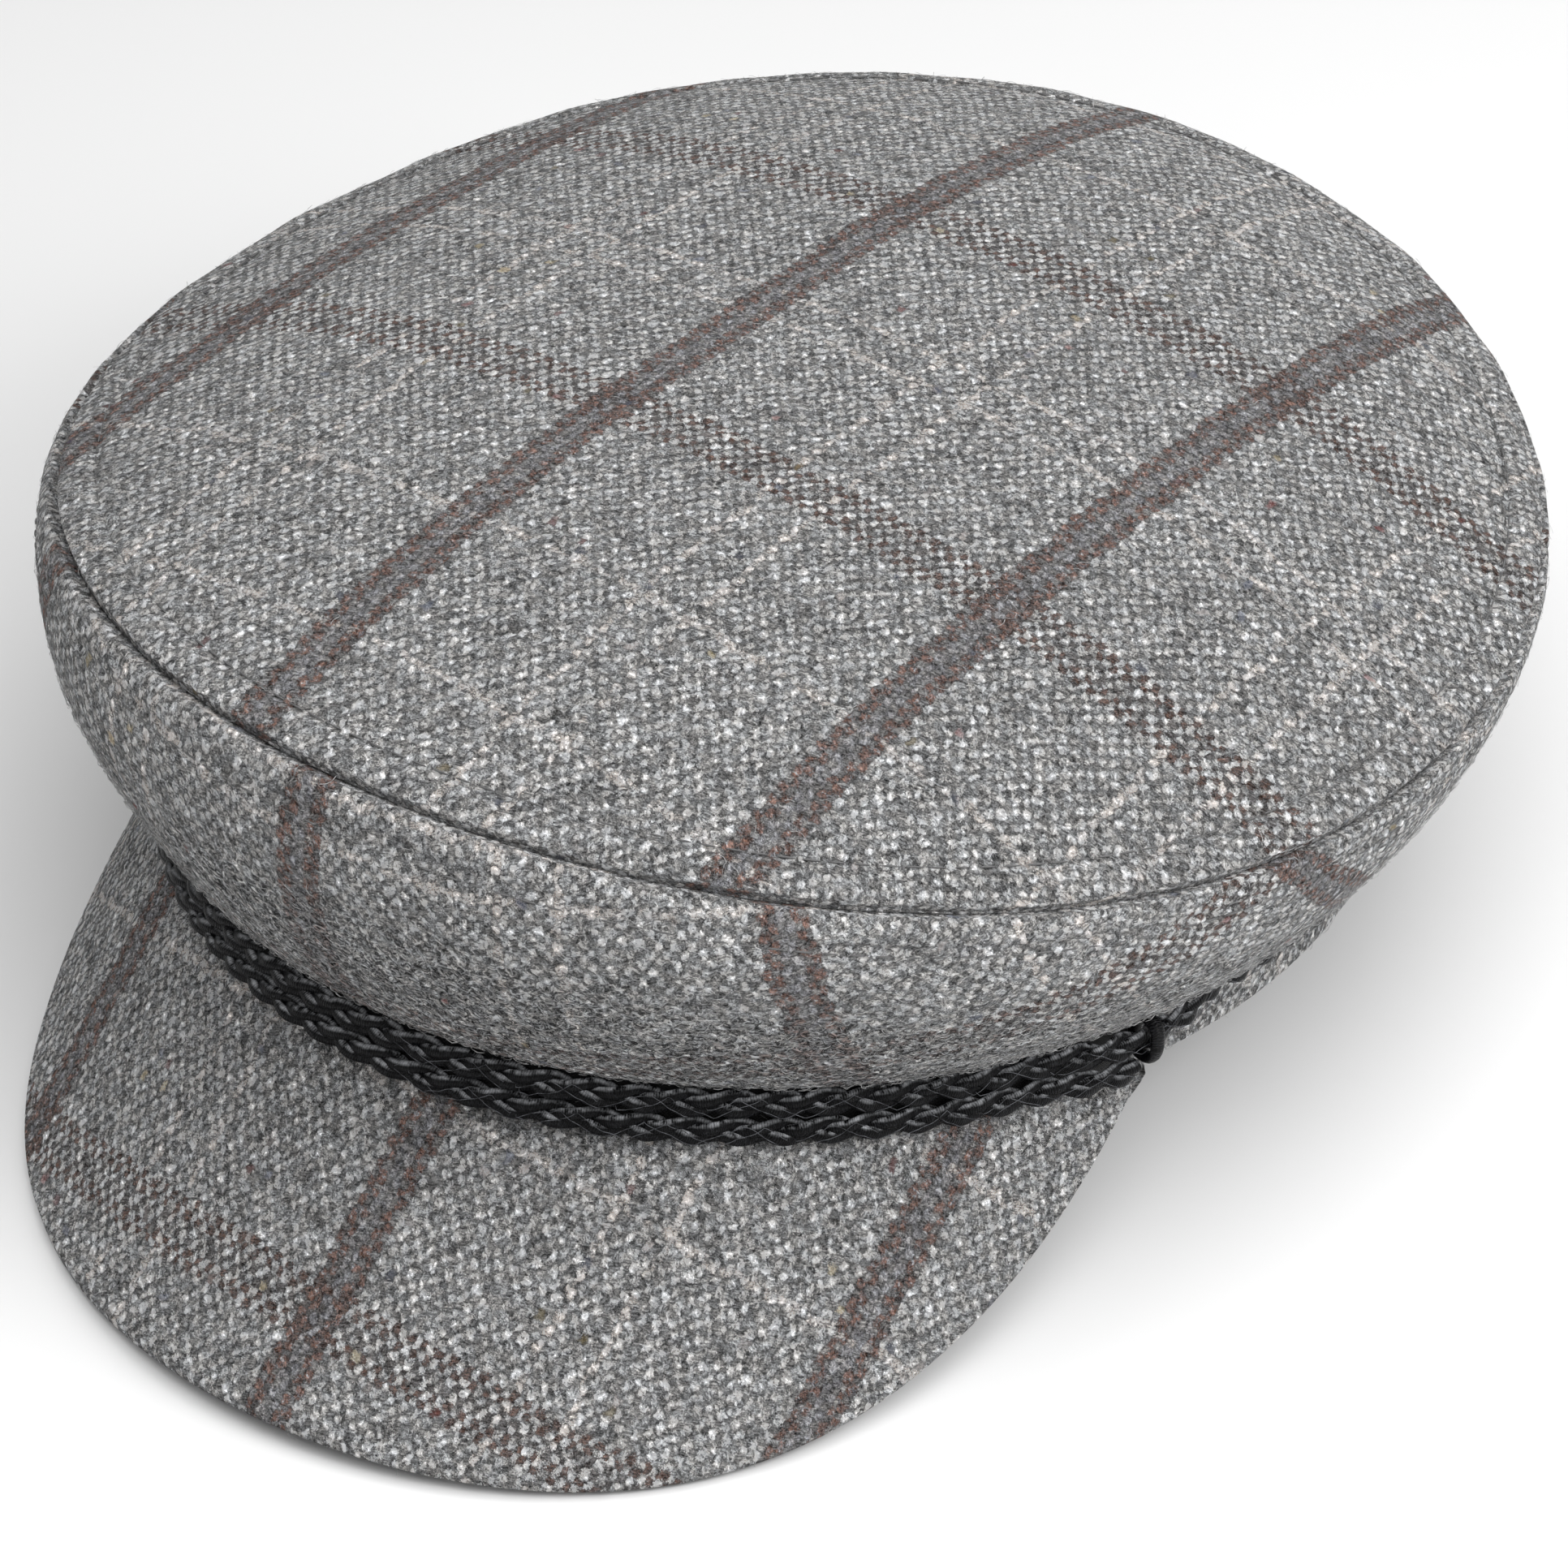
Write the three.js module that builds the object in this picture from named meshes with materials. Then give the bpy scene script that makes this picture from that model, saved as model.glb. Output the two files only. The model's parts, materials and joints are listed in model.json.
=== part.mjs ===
// A skipper cap in wool tweed: a domed tip, a bulging crown side, an upright head band,
// a stiff curved peak and a plaited cord over it. Millimetres, +Z up, the peak towards -Y.
// The pieces are drawn with the band's lower edge in the plane z = 0. The whole cap is then
// tipped back until the peak's edge and the back of the band stand on one floor.

import * as THREE from "three";

// Head band
const bandHalfWidth = 88.2;
const bandHalfLength = 103.9;
const bandHeight = 24;
const bandWall = 3;

// What neighbouring pieces keep between them
const gap = 0.3;

// Plaited cord: two rows in front, held by a loop at each end of the lower row
const cordThickness = 3;
const cordRowHeight = 4.4;
const cordFoot = 0.9;
const loopStrand = 1.3;
const loopWidth = 2.4;
const loopAngle = 66;
const loopLiftSpread = 9;
const buttonAngle = 88;
const buttonRadius = 4.6;
const buttonThickness = 3.2;

// Crown: how far the tip seam stands out from the band, and how high it lies
const flareSide = 18.7;
const flareEnds = 9.6;
const seamCentreY = -0.7;
const seamRise = 45.9;
const overhangDrop = 2;
const tuckStart = 1.2;
const tuckDepth = 3.2;
const crownWall = 2;
const sideBulge = 5.3;
const bulgeHigh = 0.75;
const sideSeamAngle = 114;
const domeHeight = 18;
const domePower = 2.77;

// The soft rim's own unevenness: shares of its radius, then slopes, then a saddle in mm
const rimRoundness = 0.973;
const rimEgg = 0.018;
const rimSkew = 0.005;
const rimLobeCos = 0.003;
const rimLobeSin = -0.012;
const rimSlopeBack = 0.047;
const rimSlopeSide = -0.026;
const rimSaddle = 4.7;
const rimTwist = -1.3;
const bulgeFront = 2.2;
const bulgeSide = -1.3;

// Peak
const peakAngle = 67.9;
const peakLength = 51.8;
const peakEndLength = 1.4;
const peakTaper = 3.76;
const peakSlope = 49.2;
const peakSideSlope = 6.7;
const peakForward = 1.46;
const peakHollow = 1.2;
const peakThickness = 2.6;
const peakRootRise = 0.9;
const peakRootTurn = 0.5;

// Facets
const roundSteps = 60;
const cordSteps = 60;
const peakSteps = 32;
const peakReaches = 6;
const loopSteps = 16;
const cordSides = 8;
const buttonSides = 16;

// How square a section is: 1 is an ellipse, less is squarer
const cordSquareness = 0.8;
const loopSquareness = 0.7;

const tweedGrey = new THREE.MeshStandardMaterial({ color: 0x77787a, roughness: 0.95, metalness: 0 });
const tweedShade = new THREE.MeshStandardMaterial({ color: 0x6b6c6e, roughness: 0.95, metalness: 0 });
const cordBlack = new THREE.MeshStandardMaterial({ color: 0x19191b, roughness: 0.45, metalness: 0 });

const radians = THREE.MathUtils.degToRad;
const up = new THREE.Vector3(0, 0, 1);

function evenSteps(from, to, count) {
  return Array.from({ length: count + 1 }, (_, i) => from + ((to - from) * i) / count);
}

// Triangles that fill a flat ring, wound the way that its points run
function flatFaces(ring) {
  const start = ring[0];
  const spokes = ring.map((point) => point.clone().sub(start));
  const normal = new THREE.Vector3();
  for (let i = 1; i < spokes.length - 1; i += 1) {
    normal.add(new THREE.Vector3().crossVectors(spokes[i], spokes[i + 1]));
  }
  normal.normalize();
  const across = spokes[1].clone().addScaledVector(normal, -spokes[1].dot(normal)).normalize();
  const upright = new THREE.Vector3().crossVectors(normal, across);
  const outline = spokes.map((spoke) => new THREE.Vector2(spoke.dot(across), spoke.dot(upright)));
  return THREE.ShapeUtils.triangulateShape(outline, []).map(([a, b, c]) => {
    const turn = outline[b].clone().sub(outline[a]).cross(outline[c].clone().sub(outline[a]));
    return turn > 0 ? [a, b, c] : [a, c, b];
  });
}

function centreOf(ring) {
  const sum = new THREE.Vector3();
  for (const point of ring) {
    sum.add(point);
  }
  return sum.divideScalar(ring.length);
}

// A skin over rings of equally many points. "endless" rings run in a circle. Otherwise the two ends
// are closed, by a "fan" of faces round the ring's centre or, on a bent section, by "flat" faces.
function loft(rings, ends) {
  const size = rings[0].length;
  const points = rings.flat();
  const faces = [];
  const last = ends === "endless" ? rings.length : rings.length - 1;
  for (let i = 0; i < last; i += 1) {
    const a = i * size;
    const b = ((i + 1) % rings.length) * size;
    for (let j = 0; j < size; j += 1) {
      const k = (j + 1) % size;
      faces.push([a + j, b + j, b + k]);
      faces.push([a + j, b + k, a + k]);
    }
  }
  const lastRing = last * size;
  if (ends === "flat") {
    faces.push(...flatFaces(rings[0]));
    for (const [a, b, c] of flatFaces(rings[last])) {
      faces.push([lastRing + a, lastRing + c, lastRing + b]);
    }
  }
  if (ends === "fan") {
    const first = points.push(centreOf(rings[0])) - 1;
    const end = points.push(centreOf(rings[last])) - 1;
    for (let j = 0; j < size; j += 1) {
      const k = (j + 1) % size;
      faces.push([first, j, k]);
      faces.push([end, lastRing + k, lastRing + j]);
    }
  }
  return solid(points, faces);
}

// Faces are turned the other way where their volume comes out negative.
function solid(points, faces) {
  let volume = 0;
  for (const [a, b, c] of faces) {
    volume += points[a].dot(new THREE.Vector3().crossVectors(points[b], points[c]));
  }
  const outward = volume > 0 ? faces : faces.map(([a, b, c]) => [a, c, b]);
  const geometry = new THREE.BufferGeometry();
  const places = points.flatMap((point) => point.toArray());
  geometry.setAttribute("position", new THREE.Float32BufferAttribute(places, 3));
  geometry.setIndex(outward.flat());
  geometry.computeVertexNormals();
  return geometry;
}

// Angles run round the head from the middle of the front, positive to the wearer's left (+X).
function bandNormal(angle) {
  const across = Math.sin(angle) / bandHalfWidth;
  const along = Math.cos(angle) / bandHalfLength;
  return new THREE.Vector3(across, -along, 0).normalize();
}

function bandPoint(angle, outward, height) {
  const across = bandHalfWidth * Math.sin(angle);
  const along = bandHalfLength * Math.cos(angle);
  return new THREE.Vector3(across, -along, height).addScaledVector(bandNormal(angle), outward);
}

function headBand() {
  const angles = evenSteps(0, 2 * Math.PI, roundSteps).slice(0, -1);
  const rings = angles.map((angle) => [
    bandPoint(angle, 0, 0),
    bandPoint(angle, 0, bandHeight),
    bandPoint(angle, -bandWall, bandHeight),
    bandPoint(angle, -bandWall, 0),
  ]);
  return loft(rings, "endless");
}

// Crown

const cordTop = cordFoot + 2 * cordRowHeight + gap;
const sideFoot = cordTop - overhangDrop;
const seamHeight = sideFoot + seamRise;
const seamHalfWidth = bandHalfWidth + flareSide;
const seamHalfLength = bandHalfLength + flareEnds;

function signedPower(value, power) {
  return Math.sign(value) * Math.abs(value) ** power;
}

// A point of the tip at a share of the way from its middle (0) to the seam (1).
function tipPoint(angle, share) {
  const uneven = 1 + rimSkew * Math.sin(2 * angle) + rimLobeCos * Math.cos(3 * angle)
    + rimLobeSin * Math.sin(3 * angle);
  const across = signedPower(Math.sin(angle), rimRoundness) * (1 + rimEgg * Math.cos(angle));
  const along = signedPower(Math.cos(angle), rimRoundness);
  const x = seamHalfWidth * across * uneven * share;
  const y = seamCentreY - seamHalfLength * along * uneven * share;
  const saddle = share * share * (rimSaddle * Math.cos(2 * angle) + rimTwist * Math.sin(2 * angle));
  const dome = domeHeight * (1 - share ** domePower);
  return new THREE.Vector3(x, y, seamHeight + rimSlopeBack * y + rimSlopeSide * x + saddle + dome);
}

function outwardAt(angle) {
  return new THREE.Vector3(Math.sin(angle), -Math.cos(angle), 0);
}

// The tip's outward normal, leaning out as the dome falls away
function tipNormal(angle, share) {
  const fall = (domeHeight * domePower * share ** (domePower - 1)) / seamHalfLength;
  return outwardAt(angle).multiplyScalar(fall).add(up).normalize();
}

function crownTip() {
  const angles = evenSteps(0, 2 * Math.PI, roundSteps).slice(0, -1);
  const outerShares = [0.14, 0.34, 0.54, 0.7, 0.83, 0.93, 1];
  const innerShares = [1, 0.86, 0.64, 0.36, 0.14];
  const outer = outerShares.map((share) => angles.map((angle) => tipPoint(angle, share)));
  const inner = innerShares.map((share) => angles.map((angle) =>
    tipPoint(angle, share).addScaledVector(tipNormal(angle, share), -crownWall)));
  return loft([...outer, ...inner], "fan");
}

// The crown side falls from the seam to the band along a straight line that bulges outwards.
function sidePoint(angle, share) {
  const seam = tipPoint(angle, 1);
  const drop = bandPoint(angle, 0, sideFoot).sub(seam);
  const outward = outwardAt(angle);
  const run = drop.dot(outward);
  const length = Math.hypot(run, drop.z);
  const bulgeWay = outward.clone().multiplyScalar(-drop.z / length).addScaledVector(up, run / length);
  const swell = share ** bulgeHigh;
  const bulge = sideBulge + bulgeFront * Math.cos(angle) + bulgeSide * Math.sin(angle);
  return seam.addScaledVector(drop, share).addScaledVector(bulgeWay, bulge * 4 * swell * (1 - swell));
}

// One section: down the outside, tucked in under the overhang to the band, and back up inside
function sideSection(angle) {
  const outerShares = [0.012, 0.05, 0.12, 0.22, 0.34, 0.48, 0.61, 0.72, 0.8];
  const outer = outerShares.map((share) => sidePoint(angle, share));
  const lip = sidePoint(angle, 0.845);
  const innerShares = [0.7, 0.58, 0.44, 0.28, 0.14, 0.05];
  const outward = outwardAt(angle);
  const inner = innerShares.map((share) => {
    const along = sidePoint(angle, share + 0.02).sub(sidePoint(angle, share - 0.02));
    const inward = outward.clone().multiplyScalar(along.z).addScaledVector(up, -along.dot(outward));
    return sidePoint(angle, share).addScaledVector(inward.normalize(), crownWall);
  });
  const seamInside = outer[0].clone().addScaledVector(tipNormal(angle, 1), -crownWall);
  const tuckLow = bandPoint(angle, gap, lip.z + tuckStart);
  const tuckHigh = bandPoint(angle, gap, lip.z + tuckStart + tuckDepth);
  const fold = lip.clone().lerp(tuckLow, 0.5);
  fold.z = lip.z;
  return [...outer, lip, fold, tuckLow, tuckHigh, ...inner, seamInside];
}

// One of the two side panels, between the seams that join them
function crownSide(fromAngle, toAngle) {
  const margin = gap / 2 / seamHalfWidth;
  const steps = Math.round(((toAngle - fromAngle) / 360) * roundSteps);
  const angles = evenSteps(radians(fromAngle) + margin, radians(toAngle) - margin, steps);
  return loft(angles.map(sideSection), "flat");
}

// Peak

// share -1 to 1 runs along the root from end to end, reach 0 to 1 from the root to the edge
function peakTop(share, reach) {
  const angle = radians(peakAngle) * share;
  const slope = radians(peakSlope + peakSideSlope * share * share);
  const fullness = 1 - Math.abs(share) ** peakTaper;
  const length = (peakLength - peakEndLength) * fullness + peakEndLength;
  const way = bandNormal(angle).addScaledVector(new THREE.Vector3(0, -1, 0), peakForward).normalize();
  const point = bandPoint(angle, gap, peakRootRise * (1 - reach) ** 2);
  point.addScaledVector(way, length * reach * Math.cos(slope));
  point.z -= length * reach * Math.sin(slope) - peakHollow * reach * reach * fullness;
  return point;
}

// The underside hangs straight below the root, and square to the surface further out.
function peakUnder(share, reach) {
  const slope = radians(peakSlope + peakSideSlope * share * share);
  const turn = THREE.MathUtils.smoothstep(reach, 0, peakRootTurn);
  const square = bandNormal(radians(peakAngle) * share).multiplyScalar(Math.sin(slope));
  square.addScaledVector(up, Math.cos(slope));
  const straight = up.clone().divideScalar(Math.cos(slope));
  return peakTop(share, reach).addScaledVector(straight.lerp(square, turn), -peakThickness);
}

function peak() {
  const reaches = evenSteps(0, 1, peakReaches);
  const sections = evenSteps(-1, 1, peakSteps).map((share) => {
    const top = reaches.map((reach) => peakTop(share, reach));
    const under = [...reaches].reverse().map((reach) => peakUnder(share, reach));
    return [...top, ...under];
  });
  return loft(sections, "fan");
}

// Plaited cord

const lowerRowHeight = cordFoot + cordRowHeight / 2;
const upperRowHeight = lowerRowHeight + cordRowHeight + gap;
const loopLift = gap + loopStrand;

// The cord stands off the band where a loop passes behind it.
function cordStandoff(angle) {
  const away = Math.abs(Math.abs(angle) - radians(loopAngle)) / radians(loopLiftSpread);
  const lift = loopLift * THREE.MathUtils.smoothstep(1 - away, 0, 0.6);
  return gap + cordThickness / 2 + lift;
}

// A rounded section of a row, square to its run
function cordSection(angle, height) {
  const centre = bandPoint(angle, cordStandoff(angle), height);
  const outward = bandNormal(angle);
  const halfStep = Math.PI / cordSides;
  return evenSteps(0, 2 * Math.PI, cordSides).slice(0, -1).map((turn) => {
    const across = signedPower(Math.cos(turn + halfStep), cordSquareness) * (cordThickness / 2);
    const upright = signedPower(Math.sin(turn + halfStep), cordSquareness) * (cordRowHeight / 2);
    return centre.clone().addScaledVector(outward, across).addScaledVector(up, upright);
  });
}

function cordRow(fromAngle, toAngle, height) {
  const angles = evenSteps(radians(fromAngle), radians(toAngle), cordSteps);
  return loft(angles.map((angle) => cordSection(angle, height)), "fan");
}

// Degrees round the band that a length along its side takes up
function degreesFor(length) {
  const across = bandHalfWidth * Math.cos(radians(loopAngle));
  const along = bandHalfLength * Math.sin(radians(loopAngle));
  return THREE.MathUtils.radToDeg(length / Math.hypot(across, along));
}

// A flat strand that goes once round the upper row
function cordLoop(side) {
  const angle = side * radians(loopAngle);
  const centre = bandPoint(angle, cordStandoff(angle), upperRowHeight);
  const outward = bandNormal(angle);
  const along = new THREE.Vector3().crossVectors(up, outward).normalize();
  const reachOut = cordThickness / 2 + gap + loopStrand / 2;
  const reachUp = cordRowHeight / 2 + gap + loopStrand / 2;
  const corners = [[-1, -1], [1, -1], [1, 1], [-1, 1]];
  const rings = evenSteps(0, 2 * Math.PI, loopSteps).slice(0, -1).map((turn) => {
    const out = signedPower(Math.cos(turn), loopSquareness) * reachOut;
    const rise = signedPower(Math.sin(turn), loopSquareness) * reachUp;
    const way = outward.clone().multiplyScalar(out).addScaledVector(up, rise);
    const thick = way.clone().normalize().multiplyScalar(loopStrand / 2);
    return corners.map(([depth, width]) => {
      const corner = centre.clone().add(way).addScaledVector(thick, depth);
      return corner.addScaledVector(along, (width * loopWidth) / 2);
    });
  });
  return loft(rings, "endless");
}

// A domed, covered button with its back against the band
function button(side) {
  const profile = [[0, 0], [0.86, 0], [1, 0.3], [0.93, 0.62], [0.6, 0.92], [0, 1]];
  const points = profile.map(([radius, depth]) =>
    new THREE.Vector2(radius * buttonRadius, depth * buttonThickness));
  const geometry = new THREE.LatheGeometry(points, buttonSides);
  const angle = side * radians(buttonAngle);
  const latheAxis = new THREE.Vector3(0, 1, 0);
  geometry.applyQuaternion(new THREE.Quaternion().setFromUnitVectors(latheAxis, bandNormal(angle)));
  const seat = bandPoint(angle, gap, upperRowHeight - (buttonRadius - cordRowHeight) / 2);
  geometry.translate(seat.x, seat.y, seat.z);
  return geometry;
}

const cap = new THREE.Group();

function addPiece(name, geometry, material) {
  const mesh = new THREE.Mesh(geometry, material);
  mesh.name = name;
  cap.add(mesh);
  return mesh;
}

addPiece("crown_tip", crownTip(), tweedGrey);
addPiece("crown_side_front", crownSide(-sideSeamAngle, sideSeamAngle), tweedGrey);
addPiece("crown_side_back", crownSide(sideSeamAngle, 360 - sideSeamAngle), tweedGrey);
addPiece("head_band", headBand(), tweedShade);
const peakMesh = addPiece("peak", peak(), tweedGrey);

const upperEnd = buttonAngle - degreesFor(buttonRadius + gap);
const lowerEnd = loopAngle - degreesFor(loopWidth / 2 + gap);
addPiece("braid_upper", cordRow(-upperEnd, upperEnd, upperRowHeight), cordBlack);
addPiece("braid_lower", cordRow(-lowerEnd, lowerEnd, lowerRowHeight), cordBlack);
addPiece("braid_loop_left", cordLoop(1), cordBlack);
addPiece("braid_loop_right", cordLoop(-1), cordBlack);
addPiece("button_left", button(1), cordBlack);
addPiece("button_right", button(-1), cordBlack);

// The cap leans back on the band's lower back edge until the peak's lowest points touch down.
function restPitch() {
  const places = peakMesh.geometry.getAttribute("position");
  const point = new THREE.Vector3();
  let pitch = 0;
  for (let i = 0; i < places.count; i += 1) {
    point.fromBufferAttribute(places, i);
    pitch = Math.max(pitch, Math.atan2(-point.z, bandHalfLength - point.y));
  }
  return pitch;
}

cap.rotation.x = -restPitch();

const standing = new THREE.Group();
standing.add(cap);
standing.updateMatrixWorld(true);
const box = new THREE.Box3().setFromObject(standing, true);
const middle = box.getCenter(new THREE.Vector3());
standing.position.set(-middle.x, -middle.y, -box.min.z);
standing.updateMatrixWorld(true);

export default standing;
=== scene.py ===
import json
import math

import bmesh
import bpy
import numpy as np
from mathutils import Matrix, Vector


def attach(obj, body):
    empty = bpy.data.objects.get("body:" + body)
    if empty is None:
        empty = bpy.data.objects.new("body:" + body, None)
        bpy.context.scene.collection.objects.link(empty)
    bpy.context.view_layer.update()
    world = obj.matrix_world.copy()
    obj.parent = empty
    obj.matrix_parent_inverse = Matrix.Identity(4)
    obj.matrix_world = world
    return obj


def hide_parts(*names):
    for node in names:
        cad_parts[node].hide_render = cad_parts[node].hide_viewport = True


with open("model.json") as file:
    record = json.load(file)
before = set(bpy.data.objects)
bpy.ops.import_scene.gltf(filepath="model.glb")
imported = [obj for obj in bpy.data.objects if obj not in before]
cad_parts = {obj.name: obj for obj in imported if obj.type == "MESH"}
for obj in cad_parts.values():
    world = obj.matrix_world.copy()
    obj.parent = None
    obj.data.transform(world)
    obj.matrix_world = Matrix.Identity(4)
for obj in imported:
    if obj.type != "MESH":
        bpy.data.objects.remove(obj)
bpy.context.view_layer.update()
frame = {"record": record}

# A wool tweed skipper cap. Its pieces are drawn in millimetres with the band's lower edge level and
# the peak towards -Y, then set down in metres as the cap rests, tipped back off its peak.

MM = 0.001

# Band, crown, peak and cord, as in the solids
BAND_HALF_WIDTH = 88.2
BAND_HALF_LENGTH = 103.9
BAND_HEIGHT = 24
BAND_WALL = 3
BAND_ROUNDING = 0.7
GAP = 0.3
CORD_THICKNESS = 3
CORD_ROW = 4.4
CORD_FOOT = 0.9
FLARE_SIDE = 18.7
FLARE_ENDS = 9.6
SEAM_CENTRE_Y = -0.7
SEAM_RISE = 45.9
OVERHANG_DROP = 2
WALL = 2
TUCK_START = 1.2
TUCK_DEPTH = 3.2
SIDE_BULGE = 5.3
BULGE_HIGH = 0.75
BULGE_FRONT = 2.2
BULGE_SIDE = -1.3
SIDE_SEAM_ANGLE = 114
DOME_HEIGHT = 18
DOME_POWER = 2.77
RIM_ROUNDNESS = 0.973
RIM_EGG = 0.018
RIM_SKEW = 0.005
RIM_LOBE_COS = 0.003
RIM_LOBE_SIN = -0.012
RIM_SLOPE_BACK = 0.047
RIM_SLOPE_SIDE = -0.026
RIM_SADDLE = 4.7
RIM_TWIST = -1.3
PEAK_ANGLE = 67.9
PEAK_LENGTH = 51.8
PEAK_END_LENGTH = 1.4
PEAK_TAPER = 3.76
PEAK_SLOPE = 49.2
PEAK_SIDE_SLOPE = 6.7
PEAK_FORWARD = 1.46
PEAK_HOLLOW = 1.2
PEAK_THICKNESS = 2.6
PEAK_ROOT_RISE = 0.9
LOOP_ANGLE = 66
LOOP_LIFT_SPREAD = 9
LOOP_STRAND = 1.3
LOOP_WIDTH = 2.4
LOOP_SQUARENESS = 0.7
BUTTON_ANGLE = 88
BUTTON_THICKNESS = 3.2

CORD_TOP = CORD_FOOT + 2 * CORD_ROW + GAP
LOWER_ROW_HEIGHT = CORD_FOOT + CORD_ROW / 2
UPPER_ROW_HEIGHT = LOWER_ROW_HEIGHT + CORD_ROW + GAP
SIDE_FOOT = CORD_TOP - OVERHANG_DROP
SEAM_HEIGHT = SIDE_FOOT + SEAM_RISE
SEAM_HALF_WIDTH = BAND_HALF_WIDTH + FLARE_SIDE
SEAM_HALF_LENGTH = BAND_HALF_LENGTH + FLARE_ENDS
MEAN_RADIUS = (SEAM_HALF_WIDTH + SEAM_HALF_LENGTH) / 2

# Where the look departs from the solids: the crown hangs lower over the band, and past the loops
# the upper cord rises and goes under it, to smaller buttons
LIP_SHARE = 0.94
CORD_LIFT = 2.4
CORD_LIFT_SPREAD = 7
BUTTON_SHOWN_RADIUS = 3.2
# A black sheet behind the cord, as painted shade for the deep shadow under the crown's lip
SHADE_SHEET_THICKNESS = 0.24
SHADE_SHEET_BACK = 0.03

# Sewing
SEAM_LENGTH = 698
SEAM_DEPTH = 1.8
SEAM_GROOVE_TIP = 0.4
SEAM_GROOVE_SIDE = 0.65
SEAM_PILLOW = 0.35
STITCH_ROW = 6
STITCH_ROW_DEPTH = 0.55
STITCH_ROW_GROOVE = 0.7
STITCH_LENGTH = 3.6
THREAD_RADIUS = 0.16
THREAD_SINK = 0.6
STITCH_SHARE = 0.68
SIDE_SEAM_DEPTH = 0.7
SIDE_SEAM_WIDTH = 0.8
PUCKER = 0.14
PUCKER_REACH = 10
PEAK_STITCH_ROW = 2.4
PEAK_STITCH_DEPTH = 0.3
PEAK_STITCH_GROOVE = 0.5

# Rows and columns of the cloth's meshes, finer beside the seams
FINE_STEP = 0.3
SEWN_WIDTH = STITCH_ROW + 3
SIDE_SEWN_WIDTH = 9.2
SIDE_LENGTH = 52
SIDE_END = 43.5
BESIDE_SIDE_SEAM = (0.25, 0.5, 0.8)
SIDE_COLUMNS_PER_DEGREE = 1.15
CENTRE_SHARE = 0.004
# Where the side panel turns to felt, which is also darkened there as painted shade for the shadow under the
# crown. The band has a share of both
FELT_AND_SHADE_FROM, FELT_AND_SHADE_TO = 13, 27
BAND_FELT_AND_SHADE = 0.25

# The cloth: threads in one repeat of the check, and the repeat's size
WARPS = 58
WEFTS = 50
WEFTS_WIDE = 64
CHECK_ACROSS = 67.6
CHECK_ALONG = 73.4
WARP_PITCH = CHECK_ACROSS / WARPS
WEFT_PITCH = CHECK_ALONG / WEFTS
LINE_HALF = 3
LINE_CENTRE = 1
PALE_WARP = 3.5
PALE_WEFT = 2.5
PALE_HALF = 0.6

# Where the dark lines of the check lie on each panel
TIP_TURN = -4.1
TIP_CHECK = (-12.9, -33.4)
SIDE_PANEL_RADIUS = 185
SIDE_CHECK = (-8, -43.6)
SIDE_STRETCH = 1.055
PEAK_TURN = -6.2
PEAK_CHECK = (6.3, -34.3 - CHECK_ALONG)
BAND_CHECK = (104, -20)

# The plait
PLAIT_LENGTH = 19
PLAIT_HALF_WIDTH = 1.12
PLAIT_HALF_DEPTH = 0.7
STRAND_WIDTH = 2.0
STRAND_THICKNESS = 1.55
PLAIT_STEP = 0.45
STRANDS = 3
RIB_LENGTH = 0.36
BINDING_RADIUS = 0.05
BINDING_WANDER = 160.0
BINDING_SUNK = 0.12

# Loose hairs, on each square metre of smooth cloth
HAIR_DENSITY = 225000.0
HAIR_RADIUS = 0.032
HAIR_LENGTH = 1.7
HAIR_SPIN = 6.28
HAIR_PITCH = 0.5
HAIR_ROLL = 0.35

# Camera
VIEW_AZIMUTH = 32.861
VIEW_ELEVATION = 41.163
VIEW_ROLL = -2.045
VIEW_DISTANCE = 0.80655
VIEW_AIM = (0.00862, -0.0066, 0.02871)
LENS = 124.39

# Light and floor: each lamp's name, place, size and power
WORLD_LIGHT = 0.27
LAMPS = (
    ("above", (0.1, -0.1, 0.65), 0.8, 5.1),
    ("right", (0.9, 0.2, 0.6), 0.6, 7.3),
    ("front", (0.5, -0.8, 0.35), 0.6, 0.4),
)
FLOOR_SIZE = 6


# Shapes of the cap, in arrays


def signed_power(value, power):
    return np.sign(value) * np.abs(value) ** power


def stack(*parts):
    return np.stack(np.broadcast_arrays(*parts), axis=-1)


def unit(vectors):
    return vectors / np.linalg.norm(vectors, axis=-1, keepdims=True)


def mix(a, b, share):
    return a + (b - a) * share


def smooth(value, low, high):
    share = np.clip((value - low) / (high - low), 0, 1)
    return share * share * (3 - 2 * share)


def hump(distance, width):
    return np.exp(-((distance / width) ** 2))


def outward_at(angle):
    return stack(np.sin(angle), -np.cos(angle), 0 * angle)


def band_normal(angle):
    return unit(stack(np.sin(angle) / BAND_HALF_WIDTH, -np.cos(angle) / BAND_HALF_LENGTH, 0 * angle))


def band_point(angle, outward, height):
    foot = stack(BAND_HALF_WIDTH * np.sin(angle), -BAND_HALF_LENGTH * np.cos(angle), height)
    return foot + band_normal(angle) * np.expand_dims(outward, -1)


def tip_point(angle, share):
    uneven = 1 + RIM_SKEW * np.sin(2 * angle)
    uneven = uneven + RIM_LOBE_COS * np.cos(3 * angle) + RIM_LOBE_SIN * np.sin(3 * angle)
    across = signed_power(np.sin(angle), RIM_ROUNDNESS) * (1 + RIM_EGG * np.cos(angle))
    along = signed_power(np.cos(angle), RIM_ROUNDNESS)
    x = SEAM_HALF_WIDTH * across * uneven * share
    y = SEAM_CENTRE_Y - SEAM_HALF_LENGTH * along * uneven * share
    saddle = share**2 * (RIM_SADDLE * np.cos(2 * angle) + RIM_TWIST * np.sin(2 * angle))
    dome = DOME_HEIGHT * (1 - share**DOME_POWER)
    return stack(x, y, SEAM_HEIGHT + RIM_SLOPE_BACK * y + RIM_SLOPE_SIDE * x + saddle + dome)


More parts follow.
